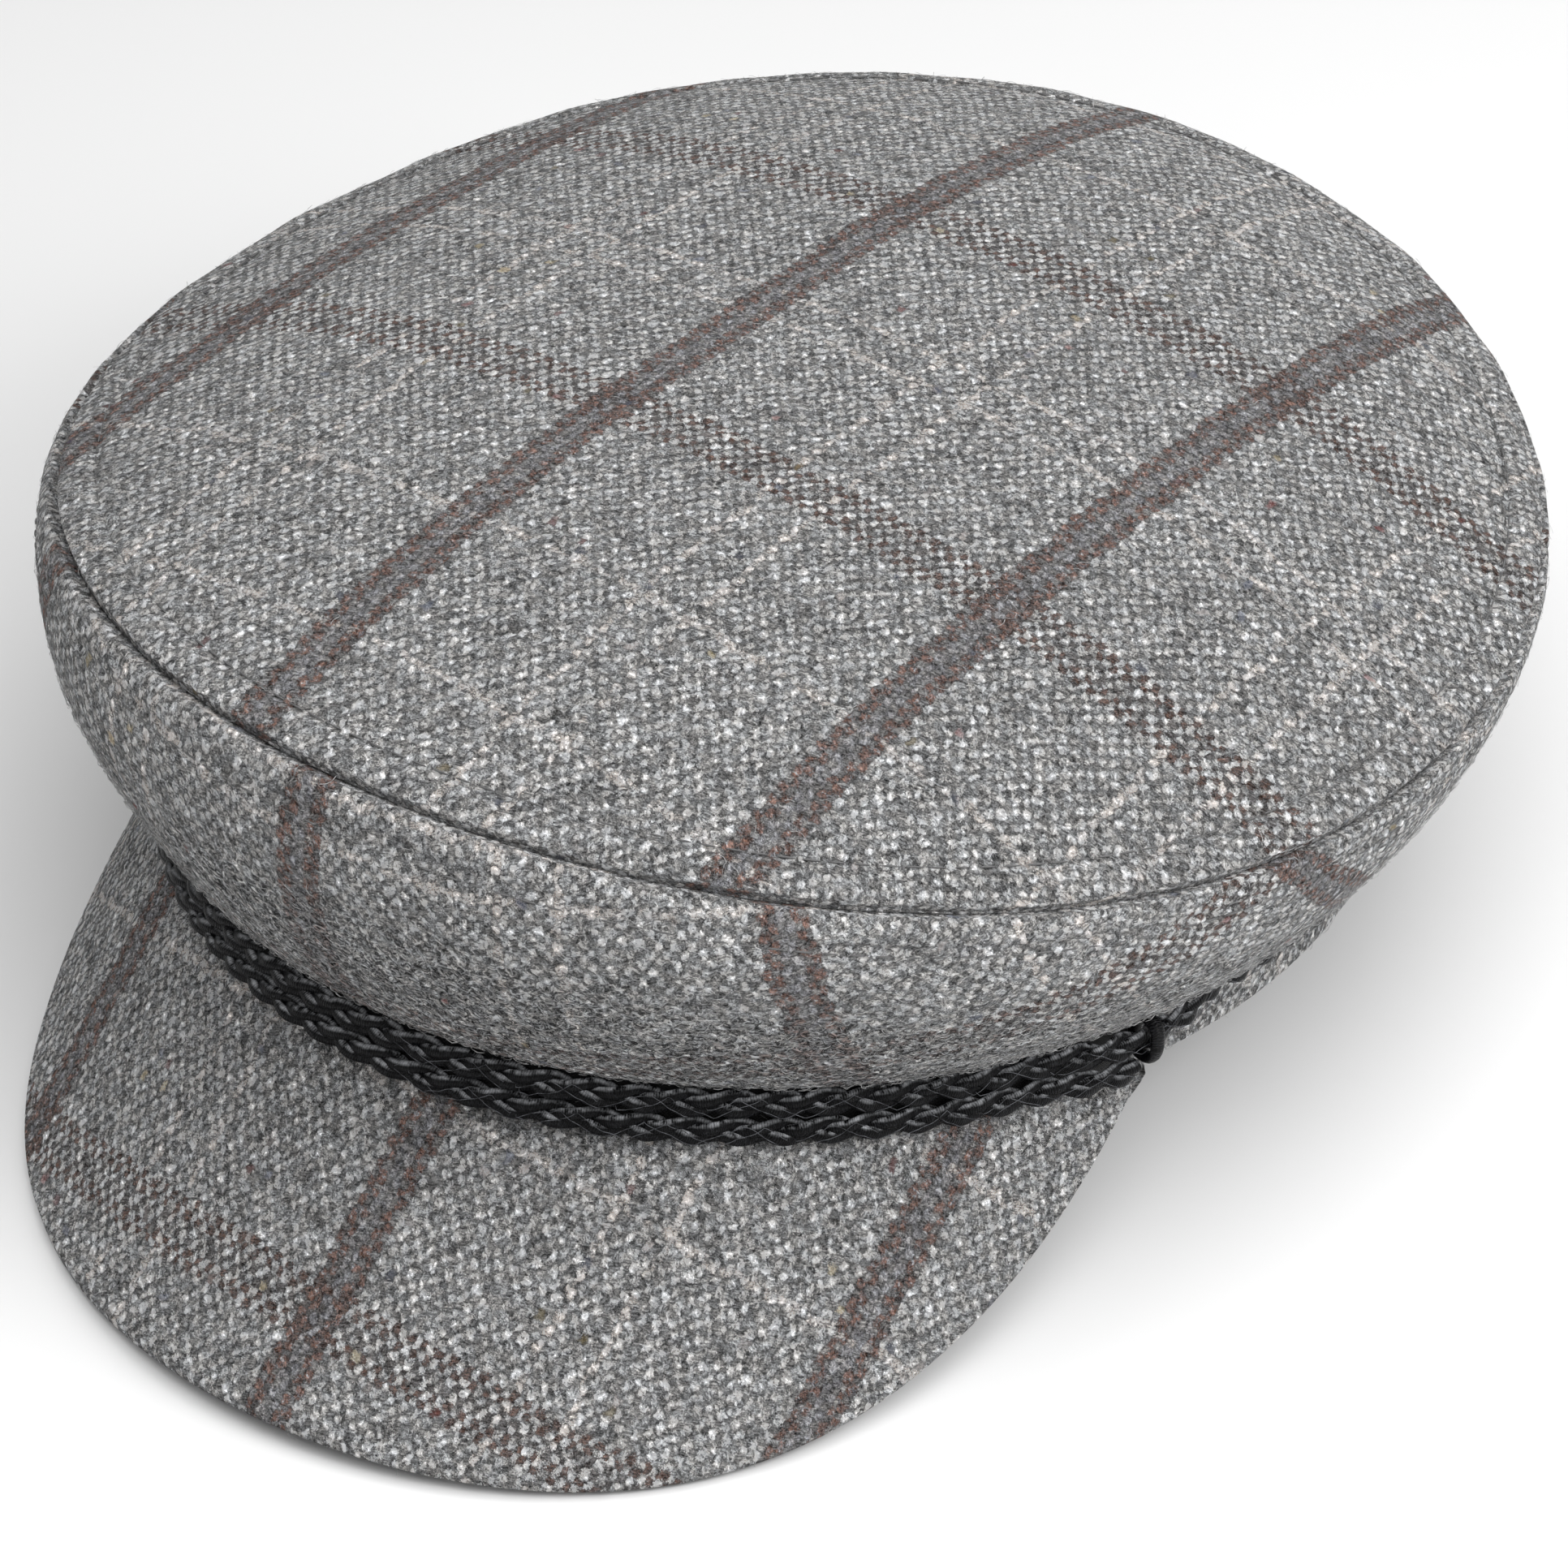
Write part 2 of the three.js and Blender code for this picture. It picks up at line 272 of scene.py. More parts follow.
def side_point(angle, share):
    angle, share = np.broadcast_arrays(angle, share)
    seam = tip_point(angle, 1)
    drop = band_point(angle, 0 * angle, SIDE_FOOT) - seam
    outward = outward_at(angle)
    run = (drop * outward).sum(-1)
    length = np.hypot(run, drop[..., 2])
    way = outward * (-drop[..., 2] / length)[..., None]
    way[..., 2] += run / length
    swell = share**BULGE_HIGH
    bulge = SIDE_BULGE + BULGE_FRONT * np.cos(angle) + BULGE_SIDE * np.sin(angle)
    return seam + drop * share[..., None] + way * (bulge * 4 * swell * (1 - swell))[..., None]


def peak_top(share, reach):
    share, reach = np.broadcast_arrays(share, reach)
    angle = math.radians(PEAK_ANGLE) * share
    slope = np.radians(PEAK_SLOPE + PEAK_SIDE_SLOPE * share**2)
    fullness = 1 - np.abs(share) ** PEAK_TAPER
    length = (PEAK_LENGTH - PEAK_END_LENGTH) * fullness + PEAK_END_LENGTH
    way = unit(band_normal(angle) + np.array([0, -PEAK_FORWARD, 0]))
    point = band_point(angle, GAP + 0 * angle, PEAK_ROOT_RISE * (1 - reach) ** 2)
    point = point + way * (length * reach * np.cos(slope))[..., None]
    point[..., 2] -= length * reach * np.sin(slope) - PEAK_HOLLOW * reach**2 * fullness
    return point


def surface_normal(surface, angle, share, step=0.002):
    """The unit normal of a surface of the cap, away from the middle of the crown."""
    low = np.maximum(share - step, 0.0005)
    across = surface(angle + step, share) - surface(angle - step, share)
    down = surface(angle, share + step) - surface(angle, low)
    normal = unit(np.cross(across, down))
    away = surface(angle, share) - np.array([0, 0, BAND_HEIGHT])
    return normal * np.sign((normal * away).sum(-1, keepdims=True))


RING = np.linspace(-np.pi, np.pi, 2881)


def arc_along(line):
    steps = np.linalg.norm(np.diff(line, axis=0), axis=1)
    return np.concatenate([[0], np.cumsum(steps)])


def arc_from_front(angle, line):
    """Length along a closed line of the cap from the middle of its front to an angle."""
    arc = arc_along(line)
    arc = arc - arc[len(arc) // 2]
    turns = np.floor((angle + np.pi) / (2 * np.pi))
    return np.interp(angle - turns * 2 * np.pi, RING, arc) + turns * (arc[-1] - arc[0])


SEAM_LINE = tip_point(RING, 1)
BAND_LINE = band_point(RING, 0 * RING, 0)


# How the cap stands: its band's lower face and the point of it that the record names

mount = frame["record"]["mounts"][0]
tilt = math.atan2(mount["axis"][1], -mount["axis"][2])
TURN = np.array(Matrix.Rotation(tilt, 3, "X"))
band_back = np.array([0, BAND_HALF_LENGTH - BAND_WALL / 2, 0])
PLACE = np.array(mount["pos_m"]) - TURN @ band_back * MM


def stand(points):
    return np.asarray(points) @ TURN.T * MM + PLACE


CAP_MIDDLE = stand([0, 0, BAND_HEIGHT]).tolist()


# Meshes


def put(name, mesh, node, material=None):
    """A finished piece that rides on the cap and stands for a solid."""
    piece = bpy.data.objects.new(name, mesh)
    bpy.context.scene.collection.objects.link(piece)
    if material:
        mesh.materials.append(material)
    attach(piece, "root")
    if node:
        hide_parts(node)
    return piece


def grid_mesh(name, points, cloth, round_rows=False, round_columns=False, felt=None):
    """A closed skin on a grid of points. Open ends of the grid are closed by one face each."""
    rows, columns = points.shape[:2]
    index = np.arange(rows * columns).reshape(rows, columns)
    row = np.arange(rows if round_rows else rows - 1)
    column = np.arange(columns if round_columns else columns - 1)
    i, j = np.meshgrid(row, column, indexing="ij")
    i, j = i.ravel(), j.ravel()
    i_next, j_next = (i + 1) % rows, (j + 1) % columns
    quads = np.stack([index[i, j], index[i_next, j], index[i_next, j_next], index[i, j_next]], 1)
    faces = quads.tolist()
    uv = np.stack([cloth[i, j], cloth[i + 1, j], cloth[i + 1, j + 1], cloth[i, j + 1]], 1).reshape(-1, 2)
    ends = []
    if not round_columns:
        ends = [(index[:, 0], cloth[:rows, 0]), (index[:, -1], cloth[:rows, -1])]
    elif not round_rows:
        ends = [(index[0], cloth[0, :columns]), (index[-1], cloth[-1, :columns])]
    for end, end_uv in ends:
        if np.ptp(points.reshape(-1, 3)[end], axis=0).max() > 0.01:
            faces.append(end.tolist())
            uv = np.concatenate([uv, end_uv])
    mesh = bpy.data.meshes.new(name)
    mesh.from_pydata(stand(points.reshape(-1, 3)).tolist(), [], faces)
    mesh.uv_layers.new(name="cloth").data.foreach_set("uv", uv.ravel())
    if felt is not None:
        mesh.attributes.new("felt", "FLOAT", "POINT").data.foreach_set("value", felt.ravel())
    tidy_mesh(mesh)
    return mesh


def tidy_mesh(mesh):
    work = bmesh.new()
    work.from_mesh(mesh)
    bmesh.ops.remove_doubles(work, verts=work.verts, dist=1e-6)
    bmesh.ops.recalc_face_normals(work, faces=work.faces)
    work.to_mesh(mesh)
    work.free()
    mesh.shade_smooth()


# Panels of tweed


def sewn(distance, arc):
    """Relief beside the rim seam: a soft welt, a row of topstitching and slight puckers."""
    welt = SEAM_PILLOW * hump(distance - STITCH_ROW / 2, STITCH_ROW / 2.4)
    holes = 0.75 + 0.25 * np.cos(2 * np.pi * arc / STITCH_LENGTH)
    row = -STITCH_ROW_DEPTH * hump(distance - STITCH_ROW, STITCH_ROW_GROOVE) * holes
    wave = np.sin(arc / 3.1) * np.sin(arc / 7.7 + 1) + 0.6 * np.sin(arc / 4.3 + 2)
    pucker = PUCKER * wave * np.exp(-distance / PUCKER_REACH)
    return welt + row + pucker


def seam_sink(angle):
    """The way down into the rim seam, between the two panels' normals."""
    tip_side = surface_normal(tip_point, angle, 1 - 0.02)
    rim_side = surface_normal(side_point, angle, 0.03 + 0 * angle)
    return -unit(tip_side + rim_side)


def sag(points, scale, depth):
    """Gentle unevenness of soft cloth, as waves that cross each other."""
    x, y, z = np.moveaxis(points / scale, -1, 0)
    return depth * (np.sin(x + 0.7 * y + 0.5) * np.cos(y * 1.3 - 0.4 * z) + 0.5 * np.sin(2.3 * x - 1.7 * z))


def rotate(x, y, degrees):
    turn = math.radians(degrees)
    return x * math.cos(turn) + y * math.sin(turn), y * math.cos(turn) - x * math.sin(turn)


def tip_cloth(points):
    u, v = rotate(points[..., 0], points[..., 1], TIP_TURN)
    return np.stack([u - TIP_CHECK[0], v - TIP_CHECK[1]], -1)


def crown_tip(material, columns=400):
    angle = np.linspace(-np.pi, np.pi, columns + 1)
    fine = np.concatenate([[0, 0.14], np.arange(0.28, SEWN_WIDTH, FINE_STEP)])
    coarse = np.linspace(SEWN_WIDTH + 0.4, MEAN_RADIUS - 1, 36)
    distance = np.concatenate([fine, coarse, [MEAN_RADIUS]])[::-1, None]
    share = 1 - distance / MEAN_RADIUS
    arc = arc_from_front(angle, SEAM_LINE)
    base = tip_point(angle[None], share)
    normal = surface_normal(tip_point, angle[None], np.maximum(share, CENTRE_SHARE))
    relief = sewn(distance, arc[None]) + sag(base, 23, 0.35)
    outer = base + normal * relief[..., None]
    sink = SEAM_DEPTH * hump(distance, SEAM_GROOVE_TIP)
    outer = outer + seam_sink(angle)[None] * sink[..., None]
    inside = np.array([0.995, 0.97, 0.9, 0.75, 0.5, 0.25, 0])[:, None]
    inner = tip_point(angle[None], inside)
    inner = inner - surface_normal(tip_point, angle[None], np.maximum(inside, CENTRE_SHARE)) * WALL
    points = np.concatenate([outer, inner])
    cloth = tip_cloth(np.concatenate([base + outward_at(angle)[None] * sink[..., None], inner]))
    mesh = grid_mesh("crown_tip", points[:, :-1], cloth, round_columns=True, felt=0 * points[:, :-1, 0])
    return put("tip", mesh, "crown_tip", material)


def side_shell(angle):
    """Sections of the side panel: down the outside, tucked in to the band and back up inside."""
    coarse = np.linspace(SIDE_SEWN_WIDTH + 0.6, SIDE_END, 40)
    down = np.concatenate([np.arange(0, SIDE_SEWN_WIDTH, FINE_STEP), coarse])
    profile = arc_along(side_point(0 * RING[:101], np.linspace(0, 1, 101)))
    outer_share = np.interp(down, profile, np.linspace(0, 1, 101))
    outer = side_point(angle[None], outer_share[:, None])
    normal = surface_normal(side_point, angle[None], outer_share[:, None])
    arc = arc_from_front(angle, SEAM_LINE)
    relief = sewn(down[:, None], arc[None]) + sag(outer, 19, 0.3) * smooth(down[:, None], 4, 16)
    outer = outer + normal * relief[..., None]
    sink = SEAM_DEPTH * hump(down[:, None], SEAM_GROOVE_SIDE)
    outer = outer + seam_sink(angle)[None] * sink[..., None]

    # The fold at the panel's lower edge, and the allowance that stands up behind the band's top
    lip = side_point(angle, LIP_SHARE)
    tuck = band_point(angle, GAP + 0 * angle, lip[:, 2] + TUCK_START)
    under = mix(lip, tuck, 0.5)
    under[:, 2] = lip[:, 2] - 0.2
    start, bend = outer[-1], lip + (lip - outer[-1]) * 0.35
    t = np.linspace(0, 1, 14)[1:, None, None]
    fold = start * (1 - t) ** 3 + bend * 3 * t * (1 - t) ** 2 + under * 3 * t**2 * (1 - t) + tuck * t**3
    tuck_top = band_point(angle, GAP + 0 * angle, lip[:, 2] + TUCK_START + TUCK_DEPTH)[None]
    inner_share = np.array([0.7, 0.58, 0.44, 0.28, 0.14, 0.04])[:, None]
    inner = side_point(angle[None], inner_share)
    inner = inner - surface_normal(side_point, angle[None], inner_share) * WALL
    points = np.concatenate([outer, fold, tuck_top, inner])
    hidden_rows = len(points) - len(down)
    # Felt and its painted shade grow down the lower side, and the hidden rows take them fully
    felt = np.concatenate([smooth(down, FELT_AND_SHADE_FROM, FELT_AND_SHADE_TO), np.ones(hidden_rows)])
    return points, arc, felt


def side_cloth(points, arc, middle_arc):
    """The panel is cut as part of a ring, so that its threads run straight across the middle."""
    down = np.concatenate([[0], np.cumsum(np.linalg.norm(np.diff(points, axis=0), axis=-1).mean(1))])
    turn = (arc - middle_arc)[None] / SIDE_PANEL_RADIUS
    reach = SIDE_PANEL_RADIUS - down[:, None]
    u = (reach * np.sin(turn) - SIDE_CHECK[0]) * SIDE_STRETCH
    v = reach * np.cos(turn) - SIDE_PANEL_RADIUS - SIDE_CHECK[1]
    return np.stack([u, v], -1)


def crown_side(name, node, start, end, material):
    columns = int((end - start) * SIDE_COLUMNS_PER_DEGREE)
    edge = math.degrees(GAP / 2 / SEAM_HALF_WIDTH)
    angle = np.radians(np.linspace(start + edge, end - edge, columns + 1))
    near = np.radians([start, end])
    beside = np.radians(BESIDE_SIDE_SEAM)
    angle = np.sort(np.concatenate([angle, near[0] + beside, near[1] - beside]))
    points, arc, felt = side_shell(angle)
    from_seam = np.minimum(angle - near[0], near[1] - angle) * SEAM_HALF_WIDTH
    away = unit(points - np.array([0, 0, BAND_HEIGHT]))
    points = points - away * (SIDE_SEAM_DEPTH * hump(from_seam, SIDE_SEAM_WIDTH))[None, :, None]
    middle = arc_from_front(np.radians((start + end) / 2), SEAM_LINE)
    cloth = side_cloth(np.concatenate([points, points[:1]]), arc, middle)
    mesh = grid_mesh(name, points, cloth, round_rows=True, felt=np.repeat(felt[:, None], len(angle), 1))
    return put(name, mesh, node, material)


def head_band(material, columns=360):
    angle = np.linspace(-np.pi, np.pi, columns + 1)
    r = BAND_ROUNDING
    corner = np.radians(np.array([0, 30, 60, 90]))
    out = np.concatenate([r * (np.sin(corner) - 1), r * (np.cos(corner) - 1)])
    high = np.concatenate([r * (1 - np.cos(corner)), BAND_HEIGHT - r + r * np.sin(corner)])
    out = np.concatenate([out, -BAND_WALL - out[::-1]])
    high = np.concatenate([high, high[::-1]])
    outer_rows = len(corner)
    fill = np.linspace(0, 1, 14)[1:-1]
    for place in (3 * outer_rows, outer_rows):
        rise = mix(high[place - 1], high[place], fill)
        out = np.insert(out, place, out[place] + 0 * fill)
        high = np.insert(high, place, rise)
    points = band_point(angle[None], out[:, None] + 0 * angle[None], high[:, None] + 0 * angle[None])
    arc = arc_from_front(angle, BAND_LINE)
    around = np.concatenate([[0], np.cumsum(np.hypot(np.diff(out), np.diff(high))), [0]])
    cloth = stack(arc[None] - BAND_CHECK[0], around[:, None] - BAND_CHECK[1])
    felt = np.full(points[:, :-1, 0].shape, BAND_FELT_AND_SHADE)
    mesh = grid_mesh("band", points[:, :-1], cloth, round_rows=True, round_columns=True, felt=felt)
    return put("band", mesh, "head_band", material)


def unroll(root, edge):
    """Lays the strip between two lines flat, triangle by triangle, starting at its middle."""

    def third(a, b, from_a, from_b, side):
        along = b - a
        length = np.linalg.norm(along)
        x = (from_a**2 - from_b**2 + length**2) / (2 * length)
        y = math.sqrt(max(from_a**2 - x**2, 0))
        return a + along / length * x + np.array([-along[1], along[0]]) / length * y * side

    def gap_between(p, q):
        return np.linalg.norm(p - q)

    count = len(root)
    middle = count // 2
    flat_root, flat_edge = np.zeros((count, 2)), np.zeros((count, 2))
    flat_edge[middle] = (0, -gap_between(root[middle], edge[middle]))
    for side in (1, -1):
        i = middle
        while 0 <= i + side < count:
            k = i + side
            a, b = flat_root[i], flat_edge[i]
            flat_root[k] = third(a, b, gap_between(root[i], root[k]), gap_between(edge[i], root[k]), side)
            a = flat_root[k]
            flat_edge[k] = third(a, b, gap_between(root[k], edge[k]), gap_between(edge[i], edge[k]), side)
            i = k
    return flat_root, flat_edge


def peak(material, columns=240):
    share = np.linspace(-1, 1, columns + 1)
    share = np.sin(share * np.pi / 2) * 0.35 + share * 0.65
    reach = np.linspace(0, 1, 54)
    top = peak_top(share[None], reach[:, None])
    across = np.gradient(top, axis=1)
    along = np.gradient(top, axis=0)
    normal = unit(np.cross(across, along))
    normal = normal * np.sign(normal[..., 2:])
    run = np.concatenate([[0 * share], np.cumsum(np.linalg.norm(np.diff(top, axis=0), axis=-1), axis=0)])
    groove = PEAK_STITCH_DEPTH * hump(run - PEAK_STITCH_ROW, PEAK_STITCH_GROOVE)
    relief = sag(top, 17, 0.12) - groove
    near_edge = run[-1][None] - run
    round_off = np.minimum(near_edge / (PEAK_THICKNESS / 2), 1)
    drop = (1 - np.sqrt(np.maximum(1 - (1 - round_off) ** 2, 0))) * PEAK_THICKNESS / 2
    outer = top + normal * (relief - drop)[..., None]
    thick = PEAK_THICKNESS * np.minimum(1, 0.3 + 0.7 * smooth(1 - np.abs(share), 0, 0.03))
    under_reach = np.array([0, 0.1, 0.25, 0.45, 0.65, 0.8, 0.9, 0.95, 0.975, 0.99, 1])
    rows = np.searchsorted(reach, under_reach - 1e-9).clip(0, len(reach) - 1)
    upright = np.array([0, 0, 1])
    lean = smooth(under_reach, 0, 0.5)[:, None, None]
    way = mix(upright / math.cos(math.radians(PEAK_SLOPE)), normal[rows], lean)
    under = top[rows] - way * (thick[None] - drop[rows])[..., None]
    points = np.concatenate([outer, under[::-1]])
    flat_root, flat_edge = unroll(top[0], top[-1])
    flat_reach = np.concatenate([reach, under_reach[::-1], [0]])[:, None, None]
    flat = mix(flat_root[None], flat_edge[None], flat_reach)
    u, v = rotate(flat[..., 0], flat[..., 1], PEAK_TURN)
    cloth = np.stack([u - PEAK_CHECK[0], v - PEAK_CHECK[1]], -1)
    felt = np.zeros(points.shape[:2])
    mesh = grid_mesh("peak_cover", points, cloth, round_rows=True, felt=felt)
    return put("peak_cover", mesh, "peak", material)


# Node trees


class Wire:
    """A socket in a node tree. Sums on it add Math nodes."""

    def __init__(self, maker, socket):
        self.maker = maker
        self.socket = socket

    def maths(self, operation, *values):
        return self.maker.add("ShaderNodeMath", {"operation": operation}, values)

    def other(self, name):
        return Wire(self.maker, self.socket.node.outputs[name])

    def __add__(self, value):
        return self.maths("ADD", self, value)

    def __radd__(self, value):
        return self.maths("ADD", value, self)

    def __sub__(self, value):
        return self.maths("SUBTRACT", self, value)

    def __rsub__(self, value):
        return self.maths("SUBTRACT", value, self)

    def __mul__(self, value):
        return self.maths("MULTIPLY", self, value)

    def __rmul__(self, value):
        return self.maths("MULTIPLY", value, self)

    def __truediv__(self, value):
        return self.maths("DIVIDE", self, value)

    def __lt__(self, value):
        return self.maths("LESS_THAN", self, value)

    def __gt__(self, value):
        return self.maths("GREATER_THAN", self, value)

    def floor(self):
        return self.maths("FLOOR", self)

    def cosine(self):
        return self.maths("COSINE", self)

    def sine(self):
        return self.maths("SINE", self)

    def root(self):
        return self.maths("SQRT", self)

    def size(self):
        return self.maths("ABSOLUTE", self)

    def nearest(self):
        return self.maths("ROUND", self)

    def at_most(self, value):
        return self.maths("MINIMUM", self, value)

    def at_least(self, value):
        return self.maths("MAXIMUM", self, value)

    def between(self, low, high):
        """0 below low and 1 above high, with a soft step between them"""
        settings = {"interpolation_type": "SMOOTHSTEP"}
        sockets = {"Value": self, "From Min": low, "From Max": high}
        return self.maker.add("ShaderNodeMapRange", settings, sockets)


class Maker:
    """Adds nodes to a tree: their settings first, then their sockets' values and links."""

    def __init__(self, tree):
        self.tree = tree

    def add(self, kind, settings=None, sockets=(), output=0):
        node = self.tree.nodes.new(kind)
        for name, value in (settings or {}).items():
            setattr(node, name, value)
        pairs = sockets.items() if isinstance(sockets, dict) else enumerate(sockets)
        for key, value in pairs:
            if isinstance(value, Wire):
                self.tree.links.new(value.socket, node.inputs[key])
            elif isinstance(value, (list, tuple)) and value and isinstance(value[0], Wire):
                for wire in value:
                    self.tree.links.new(wire.socket, node.inputs[key])
            elif value is not None:
                node.inputs[key].default_value = value
        return None if output is None else Wire(self, node.outputs[output])

    def maths(self, operation, *values):
        return self.add("ShaderNodeMath", {"operation": operation}, values)

    def vector_maths(self, operation, *values, output=0):
        return self.add("ShaderNodeVectorMath", {"operation": operation}, values, output)

    def scaled(self, vector, by):
        return self.add("ShaderNodeVectorMath", {"operation": "SCALE"}, {0: vector, "Scale": by})

    def named(self, name, kind="FLOAT_VECTOR"):
        return self.add("GeometryNodeInputNamedAttribute", {"data_type": kind}, {"Name": name})

    def store(self, shape, name, value, kind="FLOAT"):
        settings = {"data_type": kind, "domain": "POINT"}
        sockets = {"Geometry": shape, "Name": name, "Value": value}
        return self.add("GeometryNodeStoreNamedAttribute", settings, sockets)

    def tube(self, line, profile):
        sockets = {"Curve": line, "Profile Curve": profile, "Fill Caps": True}
        return self.add("GeometryNodeCurveToMesh", {}, sockets)

    def colour(self, share, first, second, blend="MIX"):
        settings = {"data_type": "RGBA", "blend_type": blend}
        return self.add("ShaderNodeMix", settings, {0: share, 6: first, 7: second}, 2)

    def vector(self, x, y, z=0):
        return self.add("ShaderNodeCombineXYZ", {}, (x, y, z))

    def split(self, vector, output="X"):
        return self.add("ShaderNodeSeparateXYZ", {}, (vector,), output)

    def spot(self):
        return self.add("ShaderNodeTexCoord", {}, (), "Object")

    def attribute(self, name, output="Fac"):
        return self.add("ShaderNodeAttribute", {"attribute_name": name}, (), output)

    def random(self, low, high, seed):
        sockets = {2: low, 3: high, "Seed": seed}
        return self.add("FunctionNodeRandomValue", {"data_type": "FLOAT"}, sockets, 1)

    def noise(self, place, scale, detail=2, distortion=0, roughness=0.5):
        sockets = {"Vector": place, "Scale": scale, "Detail": detail, "Roughness": roughness}
        sockets["Distortion"] = distortion
        return self.add("ShaderNodeTexNoise", {}, sockets)

    def bump(self, height, distance, strength=1.0):
        sockets = {"Strength": strength, "Distance": distance, "Height": height}
        return self.add("ShaderNodeBump", {}, sockets)

    def principled(self, colour, roughness, normal, **fixed):
        sockets = {"Base Color": colour, "Roughness": roughness, "Normal": normal}
        for name, value in fixed.items():
            sockets[name.replace("_", " ").title().replace("Ior", "IOR")] = value
        surface = self.add("ShaderNodeBsdfPrincipled", {}, sockets)
        self.add("ShaderNodeOutputMaterial", {}, {"Surface": surface}, None)


def grey(level, warm=0.0):
    return (level * (1 + warm), level, level * (1 - warm), 1)


def shader(name):
    material = bpy.data.materials.new(name)
    material.use_nodes = True
    material.node_tree.nodes.clear()
    return material, Maker(material.node_tree)


WARP_LIGHT = grey(1.0)
WARP_DARK = grey(0.27)
WEFT_LIGHT = grey(0.60)
WEFT_DARK = grey(0.16)
BROWN = (0.13, 0.064, 0.052, 1)
RUSSET = (0.40, 0.17, 0.09, 1)
CENTRE_GREY = (0.26, 0.265, 0.30, 1)
CREAM = (1.0, 0.94, 0.90, 1)
DARK_BROWN = (0.10, 0.078, 0.073, 1)
LINE_SHADE = (0.115, 0.085, 0.078, 1)
# Felt greys, darker than the cloth: real felting plus painted shade for the shadow low on the side panel
# and on the band
SHADED_FELT_LIGHT = grey(0.17)
SHADED_FELT_DARK = grey(0.06)
COOL_TINT = (0.98, 0.995, 1.02, 1)
WARM_TINT = (1.025, 1.0, 0.98, 1)
NEPS = (
    (0.0, (0.12, 0.15, 0.26, 1)),
    (0.35, (0.60, 0.46, 0.18, 1)),
    (0.5, (0.40, 0.07, 0.06, 1)),
    (0.62, (0.80, 0.72, 0.70, 1)),
)


